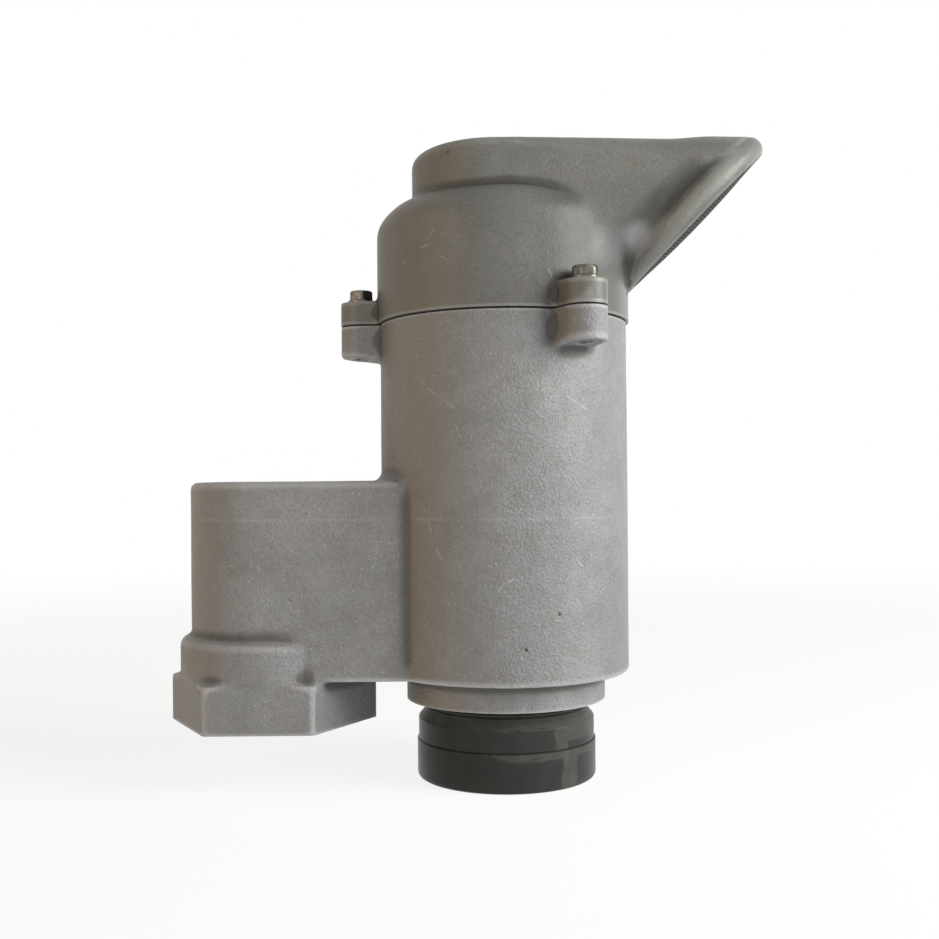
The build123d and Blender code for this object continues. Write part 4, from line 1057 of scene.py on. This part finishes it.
class ARRESTER_OT_stage(bpy.types.Operator):
    """Makes the floor, the lamps, the sky and the camera of the photograph"""

    bl_idname = "arrester.stage"
    bl_label = "Stage"

    def execute(self, context):
        scene = context.scene
        settings = scene.arrester_stage
        scene.view_settings.view_transform = "Standard"
        self.make_camera(scene, settings)
        self.make_sky(scene, settings)
        self.make_floor(settings)
        target = Vector((AXIS_X, 0, 0.11))
        self.make_lamp("key_lamp", target + Vector((0.95, -0.40, 0.36)), target, 0.66,
                       settings.key_power, (1.0, 0.99, 0.98))
        self.make_lamp("fill_lamp", target + Vector((-0.80, -0.58, 0.24)), target, 0.5,
                       settings.fill_power, (1.0, 0.66, 0.36))
        return {"FINISHED"}

    def make_camera(self, scene, settings):
        data = bpy.data.cameras.new("camera")
        data.lens = settings.lens
        data.shift_x = -0.00239
        data.shift_y = 0.02178
        data.clip_start = 0.02
        camera = bpy.data.objects.new("camera", data)
        scene.collection.objects.link(camera)
        level = Euler((math.pi / 2, 0, 0)).to_matrix()
        roll = Matrix.Rotation(settings.camera_roll, 3, "Z")
        camera.rotation_euler = (level @ roll).to_euler()
        camera.location = settings.camera_place
        scene.camera = camera

    def seen_rays(self, chain):
        """1 for the rays that see the background: camera, glossy and transmission."""
        path = chain.step("ShaderNodeLightPath").outputs
        seen = chain.calc("ADD", path["Is Camera Ray"], path["Is Glossy Ray"])
        return chain.calc("ADD", seen, path["Is Transmission Ray"], clamp=True)

    def make_sky(self, scene, settings):
        world = bpy.data.worlds.new("sky")
        scene.world = world
        world.use_nodes = True
        chain = NodeChain(world.node_tree)
        world.node_tree.nodes.clear()
        seen = self.seen_rays(chain)
        strength = chain.calc("MAXIMUM", seen, settings.sky_fill)
        red = chain.calc("ADD", 0.93, chain.calc("MULTIPLY", seen, 0.07))
        green = chain.calc("ADD", 0.97, chain.calc("MULTIPLY", seen, 0.03))
        tint = chain.step("ShaderNodeCombineColor", {0: red, 1: green, 2: 1.0}).outputs[0]
        sky = chain.step("ShaderNodeBackground", {"Color": tint, "Strength": strength}).outputs[0]
        chain.step("ShaderNodeOutputWorld", {"Surface": sky})

    def make_floor(self, settings):
        reach = settings.floor_reach
        mesh = bpy.data.meshes.new("floor")
        corners = [(x, y, FLOOR_HEIGHT) for x, y in ((-reach, -reach), (reach, -reach), (reach, reach), (-reach, reach))]
        mesh.from_pydata(corners, [], [(0, 1, 2, 3)])
        floor = add_object("floor", mesh)
        material = bpy.data.materials.new("pale_floor")
        material.use_nodes = True
        material.node_tree.nodes.clear()
        chain = NodeChain(material.node_tree)
        place = chain.step("ShaderNodeTexCoord").outputs["Object"]
        away = chain.step(
            "ShaderNodeVectorMath", {0: place, 1: (AXIS_X, 0, FLOOR_HEIGHT)}, operation="DISTANCE"
        ).outputs["Value"]
        far = chain.step(
            "ShaderNodeMapRange", {"Value": away, "From Min": 0.25, "From Max": 1.4},
            interpolation_type="SMOOTHSTEP",
        ).outputs["Result"]
        glow = chain.calc("ADD", 0.85, chain.calc("MULTIPLY", far, 0.15))
        glow = chain.calc("MULTIPLY", glow, chain.calc("MAXIMUM", self.seen_rays(chain), settings.floor_fill))
        pale = chain.step("ShaderNodeMapRange", {"Value": far, "To Min": 0.26, "To Max": 0.0}).outputs["Result"]
        matt = chain.step("ShaderNodeBsdfDiffuse", {"Color": chain.step(
            "ShaderNodeCombineColor", {0: pale, 1: pale, 2: pale}).outputs[0]}).outputs[0]
        light = chain.step("ShaderNodeEmission", {"Strength": glow}).outputs[0]
        both = chain.step("ShaderNodeAddShader", {0: matt, 1: light}).outputs[0]
        chain.step("ShaderNodeOutputMaterial", {"Surface": both})
        mesh.materials.append(material)

    def make_lamp(self, name, place, target, size, power, colour):
        data = bpy.data.lights.new(name, "AREA")
        data.size = size
        data.energy = power
        data.color = colour
        lamp = bpy.data.objects.new(name, data)
        bpy.context.scene.collection.objects.link(lamp)
        lamp.location = place
        lamp.rotation_euler = (target - place).to_track_quat("-Z", "Y").to_euler()


class ARRESTER_OT_body(bpy.types.Operator):
    """Casts the body: the CAD form on an even grid, smoothed, blended, then machined"""

    bl_idname = "arrester.body"
    bl_label = "Body casting"

    def execute(self, context):
        settings = context.scene.arrester_castings
        spare = settings.allowance
        made, skin = cast_skin("body_casting", settings.body_grid, (
            (near_height(BODY_TOP), Vector((0, 0, spare))),
            (near_height(BOSS_FACE), Vector((0, 0, -spare))),
            (near_height(0), Vector((0, 0, -spare))),
        ), raised_rows=(0.0150, 0.0202, 0.0391, 0.0445, 0.6))
        skin.even_out(3)
        x, y, z = skin.points[:, 0], skin.points[:, 1], skin.points[:, 2]
        from_axis = np.hypot(x - AXIS_X, y)
        outside = (from_axis > 0.0505) | (x < AXIS_X - 0.0505) & ((z > 0.0975) | (np.abs(y) > 0.031))
        reach = np.where(outside, 0.5, 0.0)
        reach = np.where(z > 0.148, reach * 0.35, reach)
        skin.fill_hollows(20, reach, 6 * MM)
        wave_points(skin, settings.waviness, 0.035)
        keep_in_box(skin, "body_casting", ((0, 0, spare), (0, 0, spare)))
        skin.store()
        allowed = (z < BODY_TOP + spare * 0.6) & (z > -spare * 0.6)
        allowed &= (from_axis > 0.044) | (z > BOSS_FACE - spare * 0.6) | (x < AXIS_X - 0.044)
        thin_inside(made, ~skin.reached_from(np.argmin(y), allowed), 0.72)
        self.machine(made, spare)
        made.name = made.data.name = "cast_body"
        mark_edges(made.data)
        finish_piece(
            made, cast_metal("cast_body_metal", tuple(settings.body_colour), tuple(settings.warm_colour),
                             0.2, 0.7 * MM, 0.8, BODY_MARKS, BODY_PITS, parting_highlight=0.0854),
            "housing", "body_cast", "body_casting", crease=32,
        )
        return {"FINISHED"}

    def machine(self, made, spare):
        """Faces the seam, the boss and the inlet, and drills the bores again."""
        inlet = 28.2 * MM
        bore = 33.25 * MM
        cutters = [
            cylinder_cutter(0.09, BODY_TOP, BODY_TOP + 2 * spare, AXIS_X, 0, 12),
            cylinder_cutter(0.0434, BOSS_FACE - 2 * spare, BOSS_FACE, AXIS_X, 0),
            cylinder_cutter(0.06, -2 * spare, 0, 0, 0, 12),
            cylinder_cutter(inlet, -spare, 26 * MM, 0, 0, 128),
            cylinder_cutter(inlet + 1.8 * MM, -0.01 * MM, 1.8 * MM, 0, 0, 128, top_radius=inlet),
            cylinder_cutter(bore, BOSS_FACE - spare, 26 * MM, AXIS_X, 0, 128),
        ]
        circle = bpy.context.scene.arrester_screws.circle
        for turn in range(SCREW_PLACES):
            angle = math.radians(60 + 120 * turn)
            x, y = AXIS_X + circle * math.cos(angle), circle * math.sin(angle)
            cutters.append(cylinder_cutter(2.9 * MM, BODY_TOP - 18 * MM, BODY_TOP, x, y, 32))
            cutters.append(cylinder_cutter(3.25 * MM, BODY_TOP - 11.4 * MM, BODY_TOP + MM, x, y, 32))
        cut_away(made, cutters)


class ARRESTER_OT_hood(bpy.types.Operator):
    """Casts the hood: the CAD form on an even grid, smoothed and blended, then machined"""

    bl_idname = "arrester.hood"
    bl_label = "Hood casting"

    def execute(self, context):
        settings = context.scene.arrester_castings
        spare = settings.allowance
        made, skin = cast_skin("hood_casting", settings.hood_grid, (
            (near_height(HOOD_BOTTOM), Vector((0, 0, -spare))),
        ))
        skin.even_out(3)
        self.trim_chamber(skin)
        x, y, z = skin.points[:, 0], skin.points[:, 1], skin.points[:, 2]
        to_face = (skin.points - np.array(MOUTH_CENTRE)) @ np.array(MOUTH_NORMAL)
        spout = smooth_step(x - AXIS_X, 0.004, 0.040) * smooth_step(z, 0.176, 0.190)
        reach = 0.02 + 0.98 * spout
        reach = np.where(z < 0.181, 0.12, reach)
        reach = np.where(to_face > -0.0025, 0.0, reach)
        allowed = (z > HOOD_BOTTOM - spare * 0.6) & ((to_face < -0.0012) | (z < 0.1775))
        outer = skin.reached_from(np.argmin(y), allowed)
        skin.fill_hollows(160, reach * outer, 10 * MM)
        for side in (-1, 1):
            away = np.linalg.norm(skin.points - np.array((AXIS_X + 0.045, side * 0.030, 0.197)), axis=1)
            web = 0.9 * outer * (1 - smooth_step(away, 0.011, 0.023))
            skin.relax(260, web * smooth_step(-to_face, 0.0045, 0.0125))
        root = smooth_step(x - AXIS_X, 0.018, 0.032) * smooth_step(-z, -0.226, -0.214)
        root = np.where((z < 0.182) | (to_face > -0.0025), 0.0, root)
        skin.fill_hollows(120, root * outer, 34 * MM)
        wave_points(skin, settings.waviness, 0.03)
        keep_in_box(skin, "hood_casting", ((0, 0, spare), (0, 0, 0)))
        skin.store()
        thin_inside(made, ~outer, 0.72)
        self.machine(made, spare)
        made.name = made.data.name = "cast_hood"
        mark_edges(made.data)
        finish_piece(
            made, cast_metal("cast_hood_metal", tuple(settings.hood_colour), tuple(settings.warm_colour),
                             0.28, 0.22 * MM, 0.3, HOOD_MARKS, HOOD_PITS, rim=0.75,
                             painted_shade_streaks=HOOD_PAINTED_SHADE, painted_highlights=HOOD_PAINTED_HIGHLIGHTS),
            "housing", "hood_cast", "hood_casting", crease=32,
        )
        return {"FINISHED"}

    def trim_chamber(self, skin):
        """Draws the upper chamber and the dome in by a millimetre or two, as the photograph shows them."""
        side, roof = 0.04, 1.1 / 16
        across, height = skin.points[:, 0] - AXIS_X, skin.points[:, 2]
        above = smooth_step(height, 0.2185, 0.2215)
        skin.points[:, 0] -= np.minimum(across, 0) * side * above
        dome = smooth_step(height, 0.203, 0.2165) * (1 - smooth_step(height, 0.2205, 0.2315))
        skin.points[:, 2] -= 2 * MM * dome * (1 - smooth_step(across, 0.015, 0.042))
        share = 1 - smooth_step(across, 0.066, 0.086)
        skin.points[:, 2] -= np.maximum(height - 0.2215, 0) * roof * share

    def machine(self, made, spare):
        """Faces the seam and the mouth, sinks the screen's recess and drills the lugs."""
        turn = Matrix.Translation(MOUTH_CENTRE) @ MOUTH_NORMAL.to_track_quat("Z", "Y").to_matrix().to_4x4()
        recess = cylinder_cutter(35.1 * MM, -2 * MM, 3 * MM, 0, 0, 160)
        bmesh.ops.transform(recess, matrix=turn, verts=recess.verts)
        cutters = [cylinder_cutter(0.09, HOOD_BOTTOM - 2 * spare, HOOD_BOTTOM, AXIS_X, 0, 12), recess]
        circle = bpy.context.scene.arrester_screws.circle
        for place in range(SCREW_PLACES):
            angle = math.radians(60 + 120 * place)
            x, y = AXIS_X + circle * math.cos(angle), circle * math.sin(angle)
            cutters.append(cylinder_cutter(3.5 * MM, HOOD_BOTTOM - MM, HOOD_BOTTOM + 9.9 * MM, x, y, 32))
        cut_away(made, cutters)


class ARRESTER_OT_screens(bpy.types.Operator):
    """Weaves the mouth screen and the bottom screen"""

    bl_idname = "arrester.screens"
    bl_label = "Woven screens"

    def execute(self, context):
        settings = context.scene.arrester_screens
        material = dull_wire("dull_wire", tuple(settings.colour))
        turn = MOUTH_NORMAL.to_track_quat("Z", "Y").to_euler()
        centre = MOUTH_CENTRE - MOUTH_NORMAL * settings.wire
        mouth = woven_screen("woven_mouth_screen", 34.9 * MM, settings.bulge, tuple(centre), tuple(turn), settings, material)
        finish_piece(mouth, material, "housing", "screen_wire", "mouth_screen", crease=50)
        low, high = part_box("vacuum_screen")
        centre = (AXIS_X, 0, (low.z + high.z) / 2)
        bottom = woven_screen("woven_bottom_screen", 32.7 * MM, 0.0, centre, (0, 0, 0), settings, material)
        finish_piece(bottom, material, "housing", "screen_wire", "vacuum_screen", crease=50)
        return {"FINISHED"}


class ARRESTER_OT_screws(bpy.types.Operator):
    """Makes one hood screw and one lock washer, and sets them on the three lugs"""

    bl_idname = "arrester.screws"
    bl_label = "Hood screws"

    def execute(self, context):
        settings = context.scene.arrester_screws
        material = worn_steel("screw_steel", tuple(settings.colour))
        head_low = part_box("screw_lock_washers")[1].z
        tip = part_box("hood_screws")[0].z
        screw = add_object("screw_pattern", self.screw_mesh(settings, head_low, tip))
        screws = ring_of_parts("hood_screw_set", screw, settings.circle, 0.9, material)
        finish_piece(screws, material, "housing", "screw_steel", "hood_screws", crease=34)
        washer = add_object("washer_pattern", self.washer_mesh(settings, head_low))
        washers = ring_of_parts("lock_washer_set", washer, settings.circle, 0.0, material)
        finish_piece(washers, material, "housing", "screw_steel", "screw_lock_washers", crease=34)
        for pattern in (screw, washer):
            bpy.data.objects.remove(pattern)
        return {"FINISHED"}

    def screw_mesh(self, settings, head_low, tip):
        """A hex head screw: chamfered head, shank and thread, on its own axis."""
        segments = 48
        made = bmesh.new()
        half = settings.flats / 2
        head_high = head_low + settings.head
        face = settings.flats * 0.44
        depth = 0.62 * MM
        rows = []

        def hex_radius(angle, limit):
            turned = (angle + math.pi / 6) % (math.pi / 3) - math.pi / 6
            return min(half / math.cos(turned), limit)

        def add_row(height, radius_at):
            rows.append([
                made.verts.new((
                    radius_at(2 * math.pi * step / segments) * math.cos(2 * math.pi * step / segments),
                    radius_at(2 * math.pi * step / segments) * math.sin(2 * math.pi * step / segments),
                    height if not callable(height) else height(2 * math.pi * step / segments),
                )) for step in range(segments)
            ])

        def thread_radius(height):
            def at(angle):
                turn = (height / settings.thread_pitch - angle / (2 * math.pi)) % 1
                return settings.shank - depth * (1 - abs(2 * turn - 1))
            return at

        add_row(tip, lambda angle: settings.shank - depth)
        count = int((head_low - tip - 1.2 * MM) / (settings.thread_pitch / 4))
        for step in range(1, count):
            height = tip + 0.4 * MM + step * settings.thread_pitch / 4
            add_row(height, thread_radius(height))
        add_row(head_low - 0.5 * MM, lambda angle: settings.shank)
        add_row(head_low, lambda angle: settings.shank)
        add_row(head_low, lambda angle: half * 0.98)
        add_row(head_low + 0.25 * MM, lambda angle: hex_radius(angle, half * 1.10))
        add_row(head_high - 1.5 * MM, lambda angle: hex_radius(angle, half * 1.12))
        add_row(head_high - 0.8 * MM, lambda angle: hex_radius(angle, half * 1.06))
        add_row(head_high - 0.25 * MM, lambda angle: hex_radius(angle, half * 0.97))
        add_row(head_high - 0.05 * MM, lambda angle: face * 0.95)
        add_row(head_high, lambda angle: face * 0.80)
        for low, high in zip(rows, rows[1:]):
            for step in range(segments):
                after = (step + 1) % segments
                made.faces.new((low[step], low[after], high[after], high[step]))
        made.faces.new(list(reversed(rows[0])))
        made.faces.new(rows[-1])
        bmesh.ops.recalc_face_normals(made, faces=made.faces)
        mesh = bpy.data.meshes.new("screw_pattern")
        made.to_mesh(mesh)
        made.free()
        return mesh

    def washer_mesh(self, settings, high):
        """A split lock washer with a narrow gap between its ends."""
        made = bmesh.new()
        inner, outer = settings.shank + 0.4 * MM, settings.shank + 2.6 * MM
        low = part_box("screw_lock_washers")[0].z
        steps, gap = 40, math.radians(9)
        rows = []
        for step in range(steps + 1):
            angle = math.pi + gap + (2 * math.pi - 2 * gap) * step / steps
            c, s = math.cos(angle), math.sin(angle)
            edge = 0.15 * MM
            loop = ((inner, low), (inner, high), (outer - edge, high), (outer, high - edge),
                    (outer, low + edge), (outer - edge, low))
            rows.append([made.verts.new((r * c, r * s, z)) for r, z in loop])
        for first, second in zip(rows, rows[1:]):
            for step in range(len(first)):
                after = (step + 1) % len(first)
                made.faces.new((first[step], first[after], second[after], second[step]))
        made.faces.new(rows[0])
        made.faces.new(rows[-1])
        bmesh.ops.recalc_face_normals(made, faces=made.faces)
        mesh = bpy.data.meshes.new("washer_pattern")
        made.to_mesh(mesh)
        made.free()
        return mesh


class ARRESTER_OT_housing(bpy.types.Operator):
    """Turns the dark housing with its rings, bands and rounded rim"""

    bl_idname = "arrester.housing"
    bl_label = "Dark housing"

    def execute(self, context):
        settings = context.scene.arrester_housing
        low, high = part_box("vacuum_housing")
        round_off, groove = settings.corner, settings.groove
        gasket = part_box("vacuum_housing_gasket")[0].z
        neck, band, base = 34.3 * MM, 37.4 * MM, 38.0 * MM
        profile = [
            (33.0 * MM, low.z, 0.4 * MM), (base, low.z, 2.2 * MM),
            (base, -8.3 * MM, 0.35 * MM), (band, -8.3 * MM, 0.1 * MM),
            (band, 0.8 * MM, round_off), (neck, 4.3 * MM, 0.3 * MM),
        ]
        for ring in range(4):
            height = 4.7 * MM + ring * 0.85 * MM
            profile += [(neck, height, 0), (neck - groove, height + 0.2 * MM, 0), (neck, height + 0.4 * MM, 0)]
        profile += [
            (neck, gasket, 0.2 * MM), (33.1 * MM, gasket, 0), (33.1 * MM, 30 * MM, 0.6 * MM),
            (27 * MM, 30 * MM, 0.3 * MM), (27 * MM, high.z, round_off), (24 * MM, high.z, round_off),
            (24 * MM, 10 * MM, 0.2 * MM), (22 * MM, 10 * MM, 0.3 * MM), (22 * MM, -4 * MM, 0.4 * MM),
            (33.0 * MM, -4 * MM, 0.3 * MM), (33.0 * MM, -20 * MM, 0.1 * MM),
            (34.5 * MM, -20 * MM, 0.1 * MM), (34.5 * MM, -21.5 * MM, 0.1 * MM), (33.0 * MM, -21.5 * MM, 0.1 * MM),
        ]
        made = add_object("turned_housing", lathe("turned_housing", rounded(profile), 192))
        finish_piece(made, dark_metal("dark_housing_metal", settings), "housing", "dark_housing",
                     "vacuum_housing", crease=28)
        return {"FINISHED"}


class ARRESTER_OT_ribbons(bpy.types.Operator):
    """Winds the flat and crimped ribbons of both flame elements"""

    bl_idname = "arrester.ribbons"
    bl_label = "Flame element ribbons"

    def execute(self, context):
        settings = context.scene.arrester_ribbons
        material = foil("ribbon_foil", (0.56, 0.56, 0.55))
        for prefix, inner, outer in (("element", 6.4 * MM, 44.0 * MM), ("vacuum_element", 5.4 * MM, 30.6 * MM)):
            low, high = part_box(prefix + "_shroud")
            for kind in ("flat", "crimped"):
                crimped = kind == "crimped"
                node = f"{prefix}_{kind}_ribbon"
                last = outer - settings.wrap
                made = wound_ribbon(node + "_wound", inner, last, low.z, high.z, settings, crimped, material)
                finish_piece(made, material, "housing", "ribbon", node, crease=25)
        return {"FINISHED"}


class ARRESTER_OT_threads(bpy.types.Operator):
    """Cuts the look of the inlet thread as a helical ridge"""

    bl_idname = "arrester.threads"
    bl_label = "Threads"

    def execute(self, context):
        castings = context.scene.arrester_castings
        metal = turned_metal("thread_metal", tuple(castings.body_colour), 0.6, 0.35)
        inlet = thread_ridge("inlet_thread_ridge", 28.5 * MM, 1.2 * MM, 25 * MM, 2.209 * MM, 1.15 * MM,
                             0.0, metal, True)
        finish_piece(inlet, metal, "housing", "body_cast", crease=25)
        return {"FINISHED"}


class ARRESTER_OT_plain_finishes(bpy.types.Operator):
    """Gives every CAD node that stays in view its own material"""

    bl_idname = "arrester.plain_finishes"
    bl_label = "Other pieces"

    def execute(self, context):
        machined = turned_metal("machined_aluminium", (0.58, 0.58, 0.57), 0.85, 0.32)
        seat = turned_metal("seat_aluminium", (0.52, 0.52, 0.50), 0.85, 0.36, ring=0.5 * MM)
        stem = turned_metal("ground_stem_steel", (0.50, 0.50, 0.50), 0.95, 0.2, ring=0.2 * MM)
        weight = turned_metal("turned_brass", (0.55, 0.42, 0.20), 0.95, 0.3)
        shroud = foil("shroud_sheet", (0.5, 0.5, 0.49))
        gasket = soft_sheet("gasket_board", (0.035, 0.034, 0.032), (0.07, 0.065, 0.06), 0.5 * MM, 0.85)
        seal = soft_sheet("seal_rubber", (0.03, 0.03, 0.03), (0.05, 0.05, 0.05), 0.3 * MM, 0.6)
        steel = worn_steel("nut_steel", (0.45, 0.43, 0.40), roughness=0.32)
        rules = (
            ("gasket", gasket), ("seal_disc", seal), ("stem_nuts", steel), ("snap_ring", steel),
            ("_stem", stem), ("weight", weight), ("seat_body", seat), ("shroud", shroud),
            ("", machined),
        )
        for name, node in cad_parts.items():
            if node.hide_render:
                continue
            finish = next(material for words, material in rules if words in name)
            node.data.materials.clear()
            node.data.materials.append(finish)
        return {"FINISHED"}


class ARRESTER_PT_panel(bpy.types.Panel):
    """Lists the steps that build the finished vent"""

    bl_idname = "ARRESTER_PT_panel"
    bl_label = "Flame arrester"
    bl_space_type = "VIEW_3D"
    bl_region_type = "UI"
    bl_category = "Arrester"

    def draw(self, context):
        for operator in OPERATORS:
            self.layout.operator(operator.bl_idname)


OPERATORS = (
    ARRESTER_OT_stage, ARRESTER_OT_body, ARRESTER_OT_hood, ARRESTER_OT_screens, ARRESTER_OT_screws,
    ARRESTER_OT_housing, ARRESTER_OT_ribbons, ARRESTER_OT_threads, ARRESTER_OT_plain_finishes,
)


def register():
    for name, group in SETTINGS.items():
        bpy.utils.register_class(group)
        setattr(bpy.types.Scene, name, bpy.props.PointerProperty(type=group))
    for made in (*OPERATORS, ARRESTER_PT_panel):
        bpy.utils.register_class(made)


def unregister():
    for made in reversed((*OPERATORS, ARRESTER_PT_panel)):
        bpy.utils.unregister_class(made)
    for name, group in reversed(SETTINGS.items()):
        delattr(bpy.types.Scene, name)
        bpy.utils.unregister_class(group)


def main():
    register()
    for operator in OPERATORS:
        group, name = operator.bl_idname.split(".")
        getattr(getattr(bpy.ops, group), name)()


if __name__ == "__main__":
    main()
